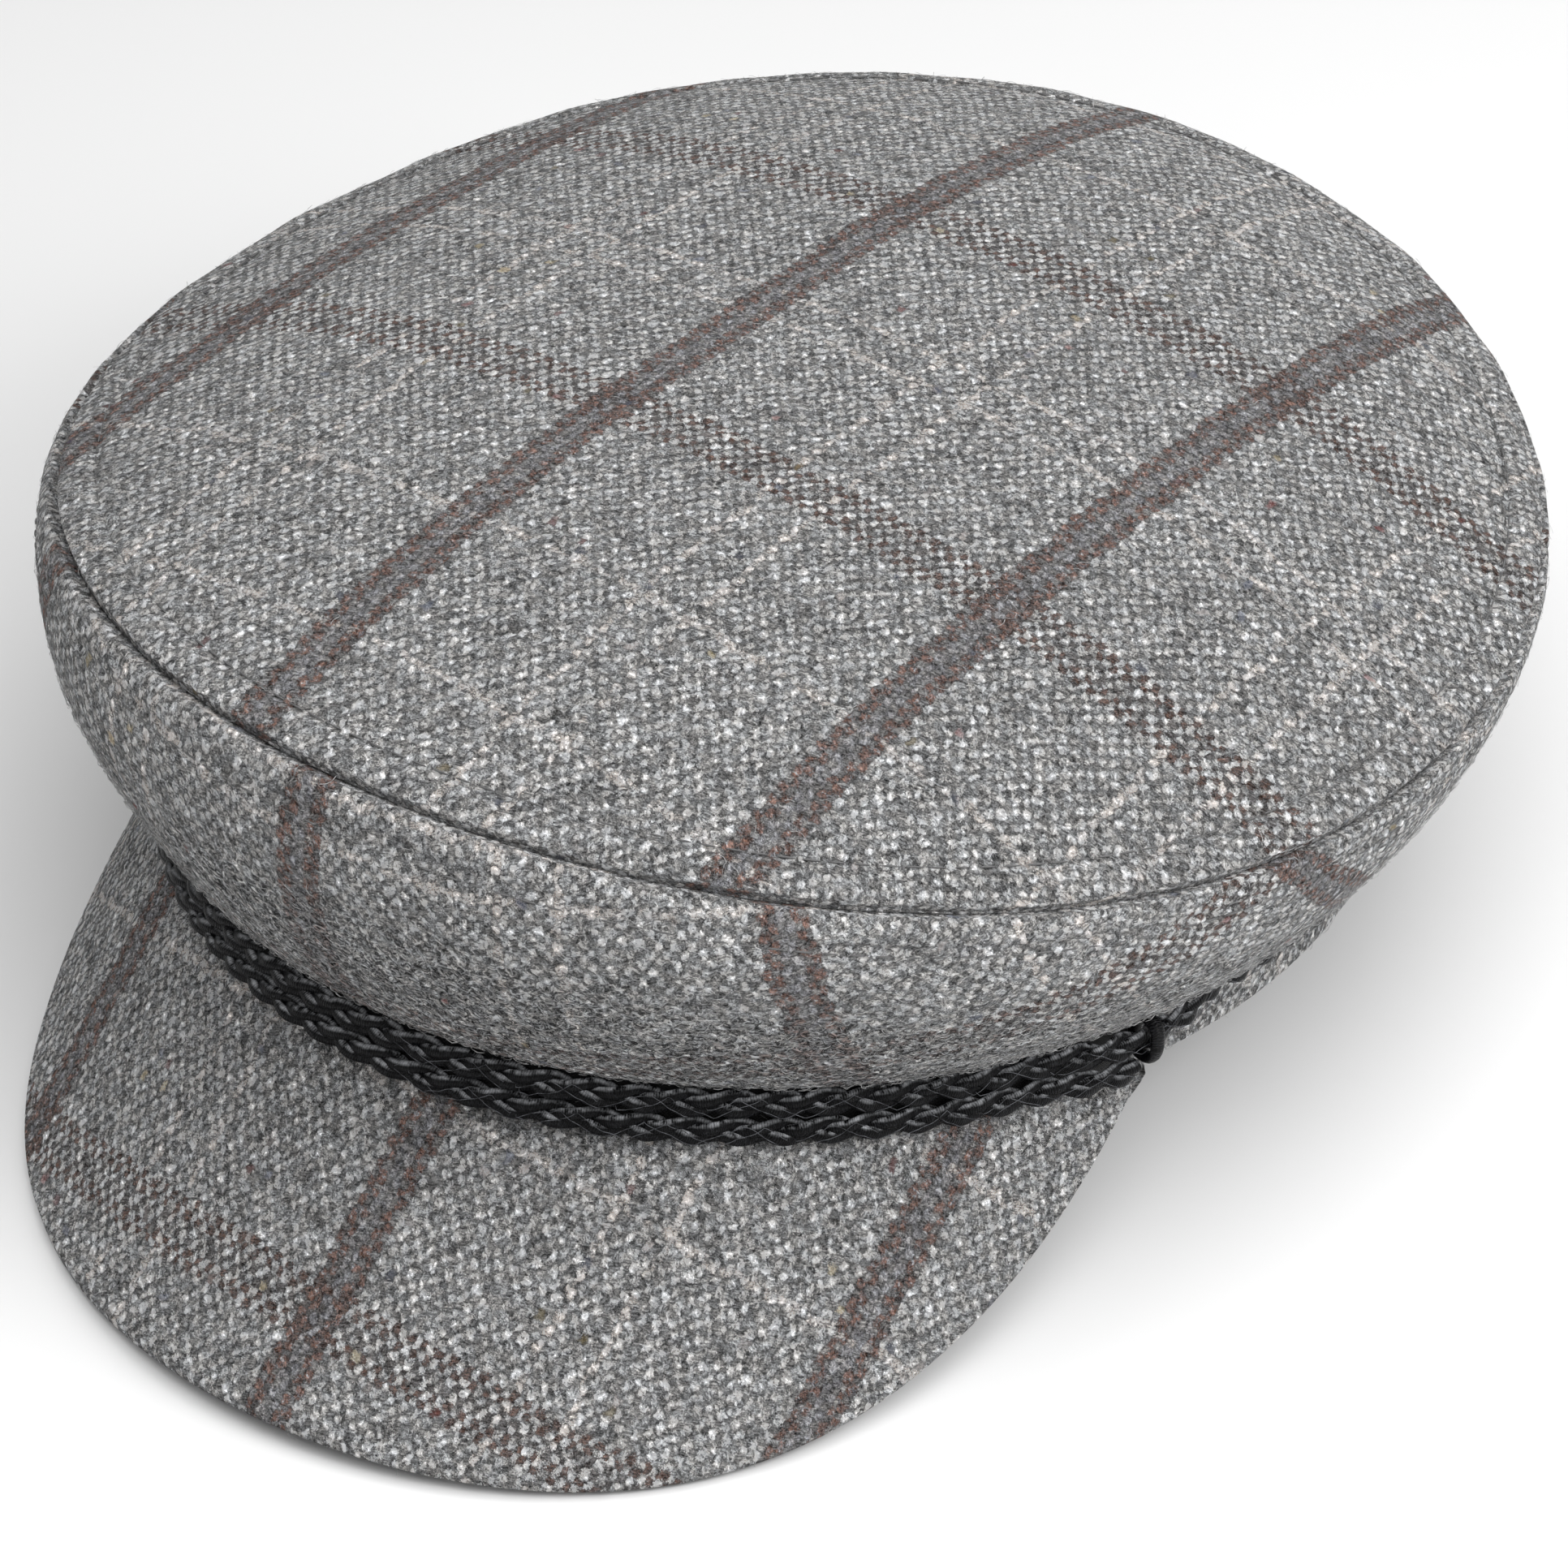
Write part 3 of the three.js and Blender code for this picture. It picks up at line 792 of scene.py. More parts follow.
def tweed():
    """Loose plain weave in two greys with a windowpane check, hairy all over."""
    material, m = shader("tweed")
    place = m.add("ShaderNodeUVMap", {"uv_map": "cloth"})
    u = m.split(place)
    v = u.other("Y")
    felt = m.attribute("felt")

    # Yarns wander, thick and thin, and their outline is frayed by hairs
    drift = m.split(m.noise(place, 0.11, 1).other("Color"))
    waver = m.split(m.noise(place, 0.55, 0).other("Color"))
    fray = m.split(m.noise(place, 3.6, 2, 0.0, 0.9).other("Color"))
    shift_u = (drift - 0.5) * 1.8 + (waver - 0.5) * 1.3 + (fray - 0.5) * 1.5
    shift_v = (drift.other("Y") - 0.5) * 1.8 + (waver.other("Y") - 0.5) * 1.5
    shift_v = shift_v + (fray.other("Y") - 0.5) * 1.5
    across = (u + shift_u) / WARP_PITCH
    along = (v + shift_v) / WEFT_PITCH
    warp = across.floor()
    weft = along.floor()
    warp_middle = across - warp - 0.5
    weft_middle = along - weft - 0.5

    # Plain weave: each yarn rises over every other yarn that it crosses
    warp_rise = ((along - 0.5 + warp) * math.pi).cosine()
    weft_rise = ((across - 0.5 + weft) * math.pi).cosine() * -1
    warp_round = (1 - warp_middle * warp_middle * 4).at_least(0).root()
    weft_round = (1 - weft_middle * weft_middle * 4).at_least(0).root()
    warp_height = (warp_rise * 0.5 + 0.5) * (warp_round * 0.5 + 0.5)
    weft_height = (weft_rise * 0.5 + 0.5) * (weft_round * 0.7 + 0.3) * 0.6
    repeat = WEFTS + WEFTS_WIDE
    from_first = (weft + 0.5 - ((weft + 0.5) / repeat).nearest() * repeat).size()
    second = weft + 0.5 - WEFTS
    weft_from = (second - (second / repeat).nearest() * repeat).size().at_most(from_first)
    weft_line = weft_from < LINE_HALF
    over = (warp_height - weft_height * (weft_line * 0.45 + 1)).between(-0.34, 0.36)
    height = warp_height.at_least(weft_height)

    # Hairs, as curls of noise that cross each other
    curl = m.noise(place, 1.5, 2, 1.5, 0.6)
    hairs = 1 - (curl - 0.5).size().between(0.0, 0.02)
    bend = (curl - 0.5) * 5
    warp_on_top = warp_height > weft_height
    streak_u = u * 1.1 + (u * 1.9 + v * 1.3) * warp_on_top + bend
    streak_v = v * 3.0 - u * 1.1 - (v * 1.9 - u * 1.1) * warp_on_top
    streaks = m.noise(m.vector(streak_u, streak_v, warp_on_top * 9), 1.0, 4, 0.0, 0.85).between(0.40, 0.60)
    tangle = m.noise(place, 0.8, 4, 1.8, 0.75)
    fuzz = tangle.between(0.38, 0.62)
    hairs = hairs.at_least(1 - (tangle - 0.5).size().between(0.0, 0.016))
    grain = streaks + (fuzz - streaks) * (felt * 0.6 + 0.4)
    patch = m.noise(place, 0.3, 2)

    # Yarn tones
    warp_tone = m.noise(m.vector(warp * 3.7, v * 0.22), 1.0, 2)
    weft_tone = m.noise(m.vector(u * 0.22, weft * 3.7, 7.0), 1.0, 2)
    tone = (grain - 0.5) * 0.5 + (patch - 0.5) * 1.2
    warp_colour = m.colour((warp_tone * 2.4 - 0.7 + tone).at_least(0).at_most(1), WARP_DARK, WARP_LIGHT)
    weft_colour = m.colour((weft_tone * 2.4 - 0.7 + tone).at_least(0).at_most(1), WEFT_DARK, WEFT_LIGHT)

    # The check, counted in threads from the middle of its dark lines
    warp_from = (warp + 0.5 - ((warp + 0.5) / WARPS).nearest() * WARPS).size()
    warp_line = warp_from < LINE_HALF
    brown = m.colour((grain * 0.6 + curl * 1.6 - 0.8).at_least(0).at_most(1), BROWN, RUSSET)
    dyed = m.noise(place, 1.1, 3, 0.8, 0.7).between(0.38, 0.48) * (1.15 - grain * 0.4)
    dull = 0.85 - grain * 0.35
    warp_colour = m.colour(warp_line * dull, warp_colour, CENTRE_GREY)
    weft_colour = m.colour(weft_line * (0.95 - grain * 0.5), weft_colour, DARK_BROWN)
    warp_colour = m.colour(warp_line * (warp_from > LINE_CENTRE) * dyed, warp_colour, brown)
    weft_colour = m.colour(weft_line * (weft_from > LINE_CENTRE) * dyed * 0.7, weft_colour, brown)
    slub = m.noise(place, 0.30, 2).between(0.40, 0.54)
    warp_pale = ((WARPS / 2 - warp_from - PALE_WARP).size() < PALE_HALF) * slub
    weft_pale = ((WEFTS / 2 - weft_from - PALE_WEFT).size() < PALE_HALF) * slub
    warp_colour = m.colour(warp_pale, warp_colour, CREAM)
    weft_colour = m.colour(weft_pale, weft_colour, CREAM)
    colour = m.colour(over, weft_colour, warp_colour)
    colour = m.colour(warp_line * (0.34 - grain * 0.2), colour, LINE_SHADE)
    pale = warp_pale.at_least(weft_pale) * (warp_from > LINE_HALF) * (weft_from > LINE_HALF)
    colour = m.colour(pale * grain, colour, CREAM)

    # Shade between the yarns, pale hairs over them and a coloured nep here and there
    # Felted cloth low on the side and on the band. Its dark greys are partly painted shade for the shadow
    # under the crown's overhang
    shaded_felt = m.colour(grain, SHADED_FELT_DARK, SHADED_FELT_LIGHT)
    colour = m.colour(felt * 0.65, colour, shaded_felt)
    depth = (height + (grain - 0.5) * 0.35).between(0.0, 0.95)
    shade = (0.04 + 0.96 * (depth + felt * (1 - depth) * 0.8)) * (0.14 + grain * 2.8)
    colour = m.colour(1.0, colour, m.vector(shade, shade, shade), "MULTIPLY")
    tint = m.colour(m.noise(place, 0.5, 1).between(0.38, 0.62), COOL_TINT, WARM_TINT)
    colour = m.colour(1.0, colour, tint, "MULTIPLY")
    colour = m.colour(hairs * 0.5, colour, grey(0.80))
    flat = {"noise_dimensions": "2D"}
    chance = m.add("ShaderNodeTexWhiteNoise", flat, {"Vector": m.vector(warp, weft)})
    kind = m.add("ShaderNodeTexWhiteNoise", flat, {"Vector": m.vector(weft, warp)})
    ramp = m.add("ShaderNodeValToRGB", {}, (kind,))
    set_stops(ramp, NEPS)
    colour = m.colour((chance > 0.994) * 0.6 * depth, colour, ramp)

    relief = height * (1 - felt * 0.75) + (grain - 0.5) * 0.3 + hairs * 0.2
    bump = m.bump(relief, 0.0018)
    m.principled(colour, 0.95 - grain * 0.1, bump, specular_ior_level=0.2)
    return material


def set_stops(ramp, stops):
    band = ramp.socket.node.color_ramp
    band.interpolation = "CONSTANT"
    while len(band.elements) < len(stops):
        band.elements.new(0.5)
    for element, (position, colour) in zip(band.elements, stops):
        element.position = position
        element.color = colour


def thread():
    material, m = shader("thread")
    twist = m.noise(m.spot(), 2600, 2)
    # The thread's own grey, taken darker still as painted shade for the shadow in the sunk rows of stitches
    colour = m.colour(twist, grey(0.04), grey(0.17))
    m.principled(colour, 0.55 + twist * 0.2, m.bump(twist, 0.0001, 0.5), specular_ior_level=0.5)
    return material


CORD_BLACK = grey(0.001)
CORD_RIB = (0.006, 0.006, 0.007, 1)
CORD_LINT = (0.13, 0.135, 0.15, 1)
CORD_GLINT = (0.42, 0.43, 0.45, 1)
BINDING_GREY = (0.17, 0.175, 0.19, 1)


def gimp():
    """Black cord whose strands are wound round with fine yarn, so that they are ribbed across.
    The gleam on the upward sides of its strands is painted."""
    material, m = shader("gimp")
    along = m.split(m.attribute("strand", "Vector"))
    round_it = along.other("Y")
    spot = m.spot()
    rough = m.noise(spot, 900, 3)
    ribs = ((along * (2 * math.pi / RIB_LENGTH) + round_it * 2 + rough * 14).sine() + 1) * 0.5
    dust = m.noise(spot, 420, 4, 2.0, 0.7)
    lint = 1 - (dust - 0.5).size().between(0.0, 0.012)
    colour = m.colour(ribs, CORD_BLACK, CORD_RIB)
    colour = m.colour(lint * 0.22, colour, CORD_LINT)
    glint = m.attribute("upward").between(0.5, 1.0) * (ribs * 0.25 + rough * 3.2 - 1.3).at_least(0)
    colour = m.colour(glint.at_most(1), colour, CORD_GLINT)
    binding = along.other("Z")
    colour = m.colour(binding * (rough * 2 - 0.5), colour, BINDING_GREY)
    bump = m.bump(ribs * 0.6 + rough, 0.00010)
    m.principled(colour, 0.25 + rough * 0.16, bump, specular_ior_level=0.10)
    return material


# What repeats along a path or over a surface


def path_mesh(name, centre, out, rise, closed=False):
    """A line with the ways out of the cap and up the cap stored at each of its points."""
    count = len(centre)
    edges = [(i, (i + 1) % count) for i in range(count if closed else count - 1)]
    mesh = bpy.data.meshes.new(name)
    mesh.from_pydata(stand(centre).tolist(), edges, [])
    for way, vectors in (("out", out), ("rise", rise)):
        turned = np.asarray(vectors) @ TURN.T
        mesh.attributes.new(way, "FLOAT_VECTOR", "POINT").data.foreach_set("vector", turned.ravel())
    return mesh


def tree_with(name, inputs):
    """A geometry tree with named inputs, its maker and the wires of those inputs."""
    tree = bpy.data.node_groups.new(name, "GeometryNodeTree")
    tree.interface.new_socket("Geometry", in_out="INPUT", socket_type="NodeSocketGeometry")
    for label, (kind, value) in inputs.items():
        socket = tree.interface.new_socket(label, in_out="INPUT", socket_type=kind)
        if value is not None:
            socket.default_value = value
    tree.interface.new_socket("Geometry", in_out="OUTPUT", socket_type="NodeSocketGeometry")
    maker = Maker(tree)
    source = maker.add("NodeGroupInput")
    wires = {label: source.other(label) for label in inputs}
    return tree, maker, source, wires


def close_tree(maker, shape, material):
    real = maker.add("GeometryNodeRealizeInstances", {}, (shape,))
    smooth_shape = maker.add("GeometryNodeSetShadeSmooth", {}, (real,))
    finished = maker.add("GeometryNodeSetMaterial", {}, {"Geometry": smooth_shape, "Material": material})
    maker.add("NodeGroupOutput", {}, (finished,), None)


def grown(name, mesh, tree, values, node):
    """Runs a tree on a mesh and keeps the plain result as a piece."""
    carrier = bpy.data.objects.new(name + "_carrier", mesh)
    bpy.context.scene.collection.objects.link(carrier)
    modifier = carrier.modifiers.new("grow", "NODES")
    modifier.node_group = tree
    for item in tree.interface.items_tree:
        if item.in_out == "INPUT" and item.name in values:
            modifier[item.identifier] = values[item.name]
    ready = carrier.evaluated_get(bpy.context.evaluated_depsgraph_get())
    result = bpy.data.meshes.new_from_object(ready)
    carrier.modifiers.remove(modifier)
    bpy.data.objects.remove(carrier)
    result.name = name
    return put(name, result, node)


def plait_tree():
    numbers = {
        "Plait length": PLAIT_LENGTH * MM,
        "Half width": PLAIT_HALF_WIDTH * MM,
        "Half depth": PLAIT_HALF_DEPTH * MM,
        "Strand width": STRAND_WIDTH * MM,
        "Strand thickness": STRAND_THICKNESS * MM,
        "Step": PLAIT_STEP * MM,
    }
    inputs = {label: ("NodeSocketFloat", value) for label, value in numbers.items()}
    inputs["Material"] = ("NodeSocketMaterial", None)
    tree, m, source, given = tree_with("plait", inputs)
    line = m.add("GeometryNodeMeshToCurve", {}, (source,))
    sockets = {"Curve": line, "Length": given["Step"]}
    line = m.add("GeometryNodeResampleCurve", {"mode": "LENGTH"}, sockets)
    out, rise = m.named("out"), m.named("rise")
    length = m.add("GeometryNodeSplineParameter", {}, (), "Length")
    turns = length / given["Plait length"]

    def moved(up, outward):
        shift = m.vector_maths("ADD", m.scaled(rise, up), m.scaled(out, outward))
        return m.add("GeometryNodeSetPosition", {}, {"Geometry": line, "Offset": shift})

    circle = m.add("GeometryNodeCurvePrimitiveCircle", {}, {"Resolution": 12, "Radius": 1.0})
    size = m.vector(given["Strand thickness"] * 0.5, given["Strand width"] * 0.5, 1)
    profile = m.add("GeometryNodeTransform", {}, {"Geometry": circle, "Scale": size})
    turn = (m.add("GeometryNodeSplineParameter", {}, (), "Factor") * (2 * math.pi)).sine()
    profile = m.store(profile, "turn", turn)
    parts = []
    for strand in range(STRANDS):
        phase = turns * (2 * math.pi) + strand * 2 * math.pi / STRANDS
        placed = moved(phase.sine() * given["Half width"], (phase * 2).sine() * given["Half depth"])
        placed = m.add("GeometryNodeSetCurveNormal", {"mode": "FREE"}, {"Curve": placed, "Normal": out})
        parts.append(m.tube(m.store(placed, "run", length * (1 / MM)), profile))

    # Two binding threads zigzag over the second half of the cord. Elsewhere they are sunk into it
    sockets = {"Resolution": 4, "Radius": BINDING_RADIUS * MM}
    thin = m.add("GeometryNodeCurvePrimitiveCircle", {}, sockets)
    for way in (1, -1):
        sockets = {"Vector": m.vector(length, way), "Scale": BINDING_WANDER}
        wander = m.add("ShaderNodeTexNoise", {}, sockets) - 0.5
        phase = turns * (3 * math.pi) + (way - 1) * math.pi / 4 + wander * 3
        zigzag = m.maths("PINGPONG", phase, math.pi) * (2 / math.pi) - 1
        stand_out = given["Half depth"] + given["Strand thickness"] * 0.5
        stand_out = stand_out + (zigzag * zigzag * -0.3 + 0.1) * MM
        hidden = ((m.add("GeometryNodeSplineParameter") < 0.5) + (wander > BINDING_SUNK)).at_most(1)
        stand_out = stand_out - hidden * given["Strand thickness"]
        placed = moved(zigzag * (given["Half width"] * 1.5), stand_out)
        parts.append(m.tube(m.store(placed, "binding", 1.0), thin))
    plait = m.add("GeometryNodeJoinGeometry", {}, {"Geometry": parts})
    place = m.vector(*(m.named(name, "FLOAT") for name in ("run", "turn", "binding")))
    plait = m.store(plait, "strand", place, "FLOAT_VECTOR")
    upward = m.split(m.add("GeometryNodeInputNormal"), "Z")
    plait = m.store(plait, "upward", upward)
    close_tree(m, plait, given["Material"])
    return tree


def stitch_tree():
    inputs = {
        "Stitch length": ("NodeSocketFloat", STITCH_LENGTH * MM),
        "Thread radius": ("NodeSocketFloat", THREAD_RADIUS * MM),
        "Unevenness": ("NodeSocketFloat", 0.12),
        "Seed": ("NodeSocketInt", 5),
        "Material": ("NodeSocketMaterial", None),
    }
    tree, m, source, given = tree_with("stitches", inputs)
    line = m.add("GeometryNodeMeshToCurve", {}, (source,))
    points = m.add("GeometryNodeCurveToPoints", {"mode": "EVALUATED"}, {"Curve": line})
    align = "FunctionNodeAlignRotationToVector"
    facing = m.add(align, {"axis": "X"}, {"Vector": points.other("Tangent")})
    sockets = {"Rotation": facing, "Vector": m.named("out")}
    facing = m.add(align, {"axis": "Z", "pivot_axis": "X"}, sockets)
    bead = m.add("GeometryNodeMeshUVSphere", {}, {"Segments": 8, "Rings": 8, "Radius": 1.0})
    long_half = given["Stitch length"] * (STITCH_SHARE / 2)
    shape = m.vector(long_half, given["Thread radius"], given["Thread radius"] * 1.1)
    spread = m.random(given["Unevenness"] * -1 + 1, given["Unevenness"] + 1, given["Seed"])
    scale = m.scaled(shape, spread)
    sockets = {"Points": points, "Instance": bead, "Rotation": facing, "Scale": scale}
    row = m.add("GeometryNodeInstanceOnPoints", {}, sockets)
    close_tree(m, row, given["Material"])
    return tree


def hair_tree():
    """Loose wool hairs that lie on the cloth, more or less flat."""
    inputs = {
        "Hairs per square metre": ("NodeSocketFloat", HAIR_DENSITY),
        "Hair radius": ("NodeSocketFloat", HAIR_RADIUS * MM),
        "Hair length": ("NodeSocketFloat", HAIR_LENGTH * MM),
        "Seed": ("NodeSocketInt", 11),
        "Material": ("NodeSocketMaterial", None),
    }
    tree, m, source, given = tree_with("hairs", inputs)
    place = m.add("GeometryNodeInputPosition")
    facing_out = m.add("GeometryNodeInputNormal")
    from_middle = m.vector_maths("SUBTRACT", place, tuple(CAP_MIDDLE))
    outside = m.vector_maths("DOT_PRODUCT", facing_out, from_middle, output="Value") > 0
    felt = m.named("felt", "FLOAT")
    density = given["Hairs per square metre"] * (felt * 1.3 + 1)
    sockets = {"Mesh": source, "Selection": outside, "Density": density, "Seed": given["Seed"]}
    spots = m.add("GeometryNodeDistributePointsOnFaces", {"distribute_method": "RANDOM"}, sockets)

    def chance(low, high, offset):
        return m.random(low, high, given["Seed"] + offset)

    bow = {"Start": (-0.5, 0.0, -0.05), "Middle": (0.05, 0.35, 0.3), "End": (0.5, -0.1, 0.02)}
    arc = m.add("GeometryNodeCurveQuadraticBezier", {}, {"Resolution": 2, **bow})
    section = m.add("GeometryNodeCurvePrimitiveCircle", {}, {"Resolution": 3, "Radius": 1.0})
    thin = given["Hair radius"] / given["Hair length"]
    section = m.add("GeometryNodeTransform", {}, {"Geometry": section, "Scale": m.vector(thin, thin, thin)})
    hair = m.tube(arc, section)
    lean = m.vector(
        chance(-HAIR_PITCH, HAIR_PITCH, 2), chance(-HAIR_ROLL, HAIR_ROLL, 3), chance(0, HAIR_SPIN, 1))
    lean = m.add("FunctionNodeEulerToRotation", {}, (lean,))
    sockets = {"Rotation": spots.other("Rotation"), "Rotate By": lean}
    facing = m.add("FunctionNodeRotateRotation", {"rotation_space": "LOCAL"}, sockets)
    long_by = given["Hair length"] * chance(0.5, 1.5, 4)
    scale = m.vector(long_by, long_by * chance(-1.2, 1.2, 5), long_by * (felt * 0.6 + 0.6))
    sockets = {"Points": spots, "Instance": hair, "Rotation": facing, "Scale": scale}
    hairs = m.add("GeometryNodeInstanceOnPoints", {}, sockets)
    close_tree(m, hairs, given["Material"])
    return tree


# Cord, loops and buttons


def cord_standoff(angle):
    away = np.abs(np.abs(np.degrees(angle)) - LOOP_ANGLE) / LOOP_LIFT_SPREAD
    return GAP + CORD_THICKNESS / 2 + (GAP + LOOP_STRAND) * smooth(1 - away, 0, 0.6)


def degrees_for(length):
    across = BAND_HALF_WIDTH * math.cos(math.radians(LOOP_ANGLE))
    along = BAND_HALF_LENGTH * math.sin(math.radians(LOOP_ANGLE))
    return math.degrees(length / math.hypot(across, along))


def plait_row(name, node, end, height, tree, material):
    angle = np.radians(np.linspace(-end, end, 500))
    lift = CORD_LIFT * smooth(np.abs(np.degrees(angle)), LOOP_ANGLE, LOOP_ANGLE + CORD_LIFT_SPREAD)
    centre = band_point(angle, cord_standoff(angle), height + lift)
    mesh = path_mesh(name, centre, band_normal(angle), np.broadcast_to([0.0, 0, 1], centre.shape))
    return grown(name, mesh, tree, {"Material": material}, node)


def stitch_row(name, points, normals, tree, material):
    mesh = path_mesh(name, points, normals, normals, closed=True)
    return grown(name, mesh, tree, {"Material": material}, None)


def shade_sheet(material):
    """Black sheet under the cord, from the peak up into the tuck of the crown. It is painted shade for the
    deep shadow between the crown's lip and the cord.
    """
    end = BUTTON_ANGLE - degrees_for(BUTTON_SHOWN_RADIUS)
    angle = np.radians(np.linspace(-end, end, 300))
    lip = side_point(angle, LIP_SHARE)[:, 2] + TUCK_START
    rise = np.linspace(0, 1, 13)
    share = np.concatenate([rise, rise[::-1]])[:, None]
    out = np.repeat([SHADE_SHEET_THICKNESS, SHADE_SHEET_BACK], len(rise))[:, None] + 0 * angle[None]
    past_loop = smooth(np.abs(np.degrees(angle)), LOOP_ANGLE - 1, LOOP_ANGLE + 1)
    foot = mix(CORD_FOOT, UPPER_ROW_HEIGHT - CORD_ROW / 2 + CORD_LIFT, past_loop)
    high = mix(foot, lip, share)
    points = band_point(angle[None], out, high)
    run = stack(arc_from_front(angle, BAND_LINE)[None], high)
    mesh = grid_mesh("cord_tape", points, np.concatenate([run, run[:1]]), round_rows=True)
    return put("cord_tape", mesh, None, material)


def cord_loop(name, node, side, material):
    angle = np.radians(np.array([side * LOOP_ANGLE]))
    out = band_normal(angle)[0]
    along = np.cross([0, 0, 1], out)
    centre = band_point(angle, cord_standoff(angle), np.array([UPPER_ROW_HEIGHT]))[0]
    turn = np.linspace(0, 2 * np.pi, 73)[:-1]
    reach_out = CORD_THICKNESS / 2 + GAP + LOOP_STRAND / 2
    reach_up = CORD_ROW / 2 + GAP + LOOP_STRAND / 2
    way = out * (signed_power(np.cos(turn), LOOP_SQUARENESS) * reach_out)[:, None]
    way = way + np.array([0, 0, 1]) * (signed_power(np.sin(turn), LOOP_SQUARENESS) * reach_up)[:, None]
    round_it = np.linspace(0, 2 * np.pi, 13)[:-1]
    thick = unit(way)[:, None] * (np.cos(round_it) * LOOP_STRAND / 2)[None, :, None]
    wide = along * (np.sin(round_it) * LOOP_WIDTH / 2)[None, :, None]
    points = centre + way[:, None] + thick + wide
    run = np.concatenate([arc_along(way), [0]])
    run[-1] = run[-2] + np.linalg.norm(way[0] - way[-1])
    strand = stack(run[:, None], np.append(np.sin(round_it), 0)[None])
    mesh = grid_mesh(name, points, strand, round_rows=True, round_columns=True)
    attribute = mesh.attributes.new("strand", "FLOAT_VECTOR", "POINT")
    attribute.data.foreach_set("vector", strand_of(mesh, run[:-1], round_it))
    return put(name, mesh, node, material)


def strand_of(mesh, run, round_it):
    """The length along the strand and the place round it, for each point of a grid."""
    count = len(mesh.vertices)
    values = np.zeros((count, 3))
    flat = stack(run[:, None], np.sin(round_it)[None]).reshape(-1, 2)
    values[:, :2] = flat[:count]
    return values.ravel()


# The button's section, as shares of its radius and its thickness
BUTTON_RADII = (0, 0.8, 0.92, 1, 1, 0.95, 0.84, 0.66, 0.4, 0)
BUTTON_DEPTHS = (0, 0, 0.06, 0.22, 0.36, 0.55, 0.74, 0.88, 0.97, 1)
BUTTON_WEAVE = 0.5


def button(name, node, side, material):
    count = len(BUTTON_RADII)
    fine = np.linspace(0, count - 1, 37)
    radius = np.interp(fine, np.arange(count), BUTTON_RADII) * BUTTON_SHOWN_RADIUS
    depth = np.interp(fine, np.arange(count), BUTTON_DEPTHS) * BUTTON_THICKNESS
    angle = np.radians(np.array([side * BUTTON_ANGLE]))
    out = band_normal(angle)[0]
    along = np.cross([0, 0, 1], out)
    seat = band_point(angle, np.array([GAP]), np.array([UPPER_ROW_HEIGHT + CORD_LIFT]))[0]
    turn = np.linspace(0, 2 * np.pi, 49)
    ring = along * np.cos(turn)[:, None] + np.array([0, 0, 1]) * np.sin(turn)[:, None]
    points = seat + ring[None] * radius[:, None, None] + out * depth[:, None, None]
    face = stack(radius[:, None] * np.cos(turn)[None], radius[:, None] * np.sin(turn)[None])
    mesh = grid_mesh(name, points[:, :-1], face, round_columns=True)
    return put(name, mesh, node, material)


def button_cloth():
    material, m = shader("button_cloth")
    place = m.add("ShaderNodeUVMap", {"uv_map": "cloth"})
    u = m.split(place)
    v = u.other("Y")
    turns = 2 * math.pi / BUTTON_WEAVE
    weave = ((u * turns).sine() * (v * turns).sine() + 1) * 0.5
    rough = m.noise(place, 2.0, 3)
    colour = m.colour(weave * 0.6 + rough * 0.4, grey(0.008), grey(0.035))
    m.principled(colour, 0.5 + rough * 0.2, m.bump(weave + rough * 0.4, 0.00008), specular_ior_level=0.4)
    return material


def wool_hair():
    material, m = shader("wool_hair")
    tone = m.noise(m.spot(), 900, 1)
    colour = m.colour(tone.between(0.35, 0.65), grey(0.25), grey(0.55))
    m.principled(colour, 0.6 + tone * 0.2, None, specular_ior_level=0.3)
    return material


# Floor, light and camera


def floor():
    bpy.ops.mesh.primitive_plane_add(size=FLOOR_SIZE)
    plane = bpy.context.object
    plane.name = "floor"
    material, m = shader("pale_floor")
    m.principled(grey(0.85), 0.7, None, specular_ior_level=0.1)
    plane.data.materials.append(material)


def lamp(name, place, aim, size, power):
    light = bpy.data.lights.new(name, "AREA")
    light.shape = "SQUARE"
    light.size = size
    light.energy = power
    holder = bpy.data.objects.new(name, light)
    holder.location = place
    holder.rotation_euler = (Vector(aim) - Vector(place)).to_track_quat("-Z", "Y").to_euler()
    bpy.context.scene.collection.objects.link(holder)


def studio():
    world = bpy.data.worlds.new("studio")
    bpy.context.scene.world = world
    world.use_nodes = True
    background = world.node_tree.nodes["Background"]
    background.inputs["Color"].default_value = grey(1.0)
    background.inputs["Strength"].default_value = WORLD_LIGHT
    for name, place, size, power in LAMPS:
        lamp(name, place, VIEW_AIM, size, power)
    bpy.context.scene.view_settings.view_transform = "Standard"


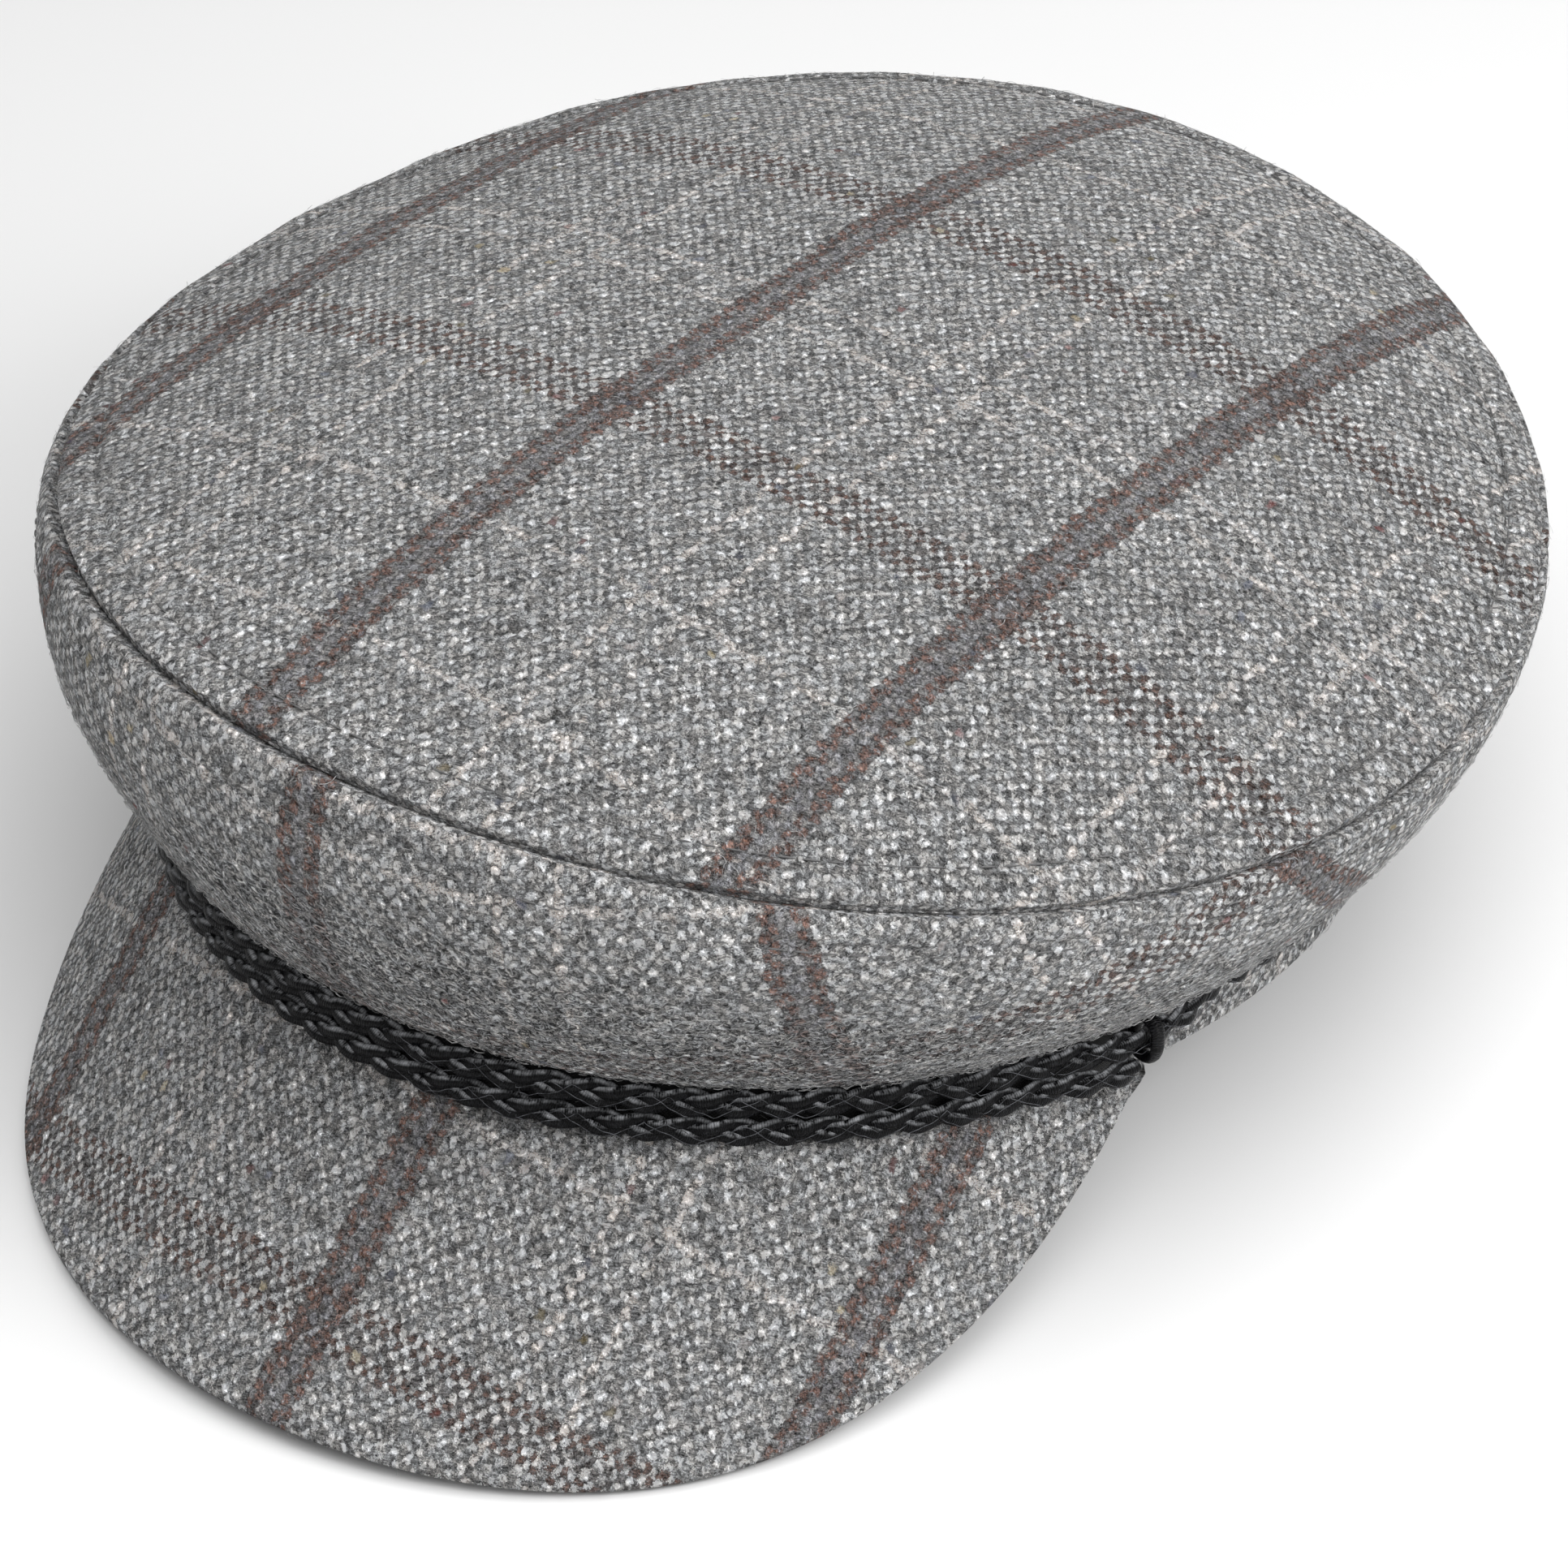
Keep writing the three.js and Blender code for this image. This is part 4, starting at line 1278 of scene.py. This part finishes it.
def camera():
    azimuth, elevation, roll = (math.radians(x) for x in (VIEW_AZIMUTH, VIEW_ELEVATION, VIEW_ROLL))
    flat = math.cos(elevation)
    back = Vector((math.sin(azimuth) * flat, -math.cos(azimuth) * flat, math.sin(elevation)))
    level = Vector((math.cos(azimuth), math.sin(azimuth), 0))
    upright = back.cross(level)
    right = level * math.cos(roll) + upright * math.sin(roll)
    above = upright * math.cos(roll) - level * math.sin(roll)
    data = bpy.data.cameras.new("camera")
    data.lens = LENS
    data.clip_start = 0.01
    eye = bpy.data.objects.new("camera", data)
    turn = Matrix((right, above, back)).transposed().to_4x4()
    eye.matrix_world = Matrix.Translation(Vector(VIEW_AIM) + back * VIEW_DISTANCE) @ turn
    bpy.context.scene.collection.objects.link(eye)
    bpy.context.scene.camera = eye


camera()
studio()
floor()

wool = tweed()
black = gimp()
sewing = thread()
cover = button_cloth()
hair = wool_hair()

plaits = plait_tree()
stitches = stitch_tree()
hairs = hair_tree()

tip = crown_tip(wool)
front = crown_side("side_front", "crown_side_front", -SIDE_SEAM_ANGLE, SIDE_SEAM_ANGLE, wool)
back = crown_side("side_back", "crown_side_back", SIDE_SEAM_ANGLE, 360 - SIDE_SEAM_ANGLE, wool)
band = head_band(wool)
brim = peak(wool)

upper_end = BUTTON_ANGLE - degrees_for(BUTTON_SHOWN_RADIUS + GAP)
lower_end = LOOP_ANGLE - degrees_for(LOOP_WIDTH / 2 + GAP)
plait_row("plait_upper", "braid_upper", upper_end, UPPER_ROW_HEIGHT, plaits, black)
plait_row("plait_lower", "braid_lower", lower_end, LOWER_ROW_HEIGHT, plaits, black)
shade_sheet(cover)
for side, word in ((-1, "left"), (1, "right")):
    cord_loop("loop_" + word, "braid_loop_" + word, side, black)
    button("button_cover_" + word, "button_" + word, side, cover)

seam_arc = np.arange(0, SEAM_LENGTH, STITCH_LENGTH) - SEAM_LENGTH / 2
stitch_angle = np.interp(seam_arc, arc_from_front(RING, SEAM_LINE), RING)
for name, surface, share in (
    ("tip_stitches", tip_point, 1 - STITCH_ROW / MEAN_RADIUS),
    ("side_stitches", side_point, STITCH_ROW / SIDE_LENGTH),
):
    normal = surface_normal(surface, stitch_angle, share + 0 * stitch_angle)
    line = surface(stitch_angle, share) + normal * (SEAM_PILLOW - STITCH_ROW_DEPTH * THREAD_SINK)
    stitch_row(name, line, normal, stitches, sewing)

for cloth in (tip, front, back, band, brim):
    grown(cloth.name + "_hairs", cloth.data.copy(), hairs, {"Material": hair}, None)
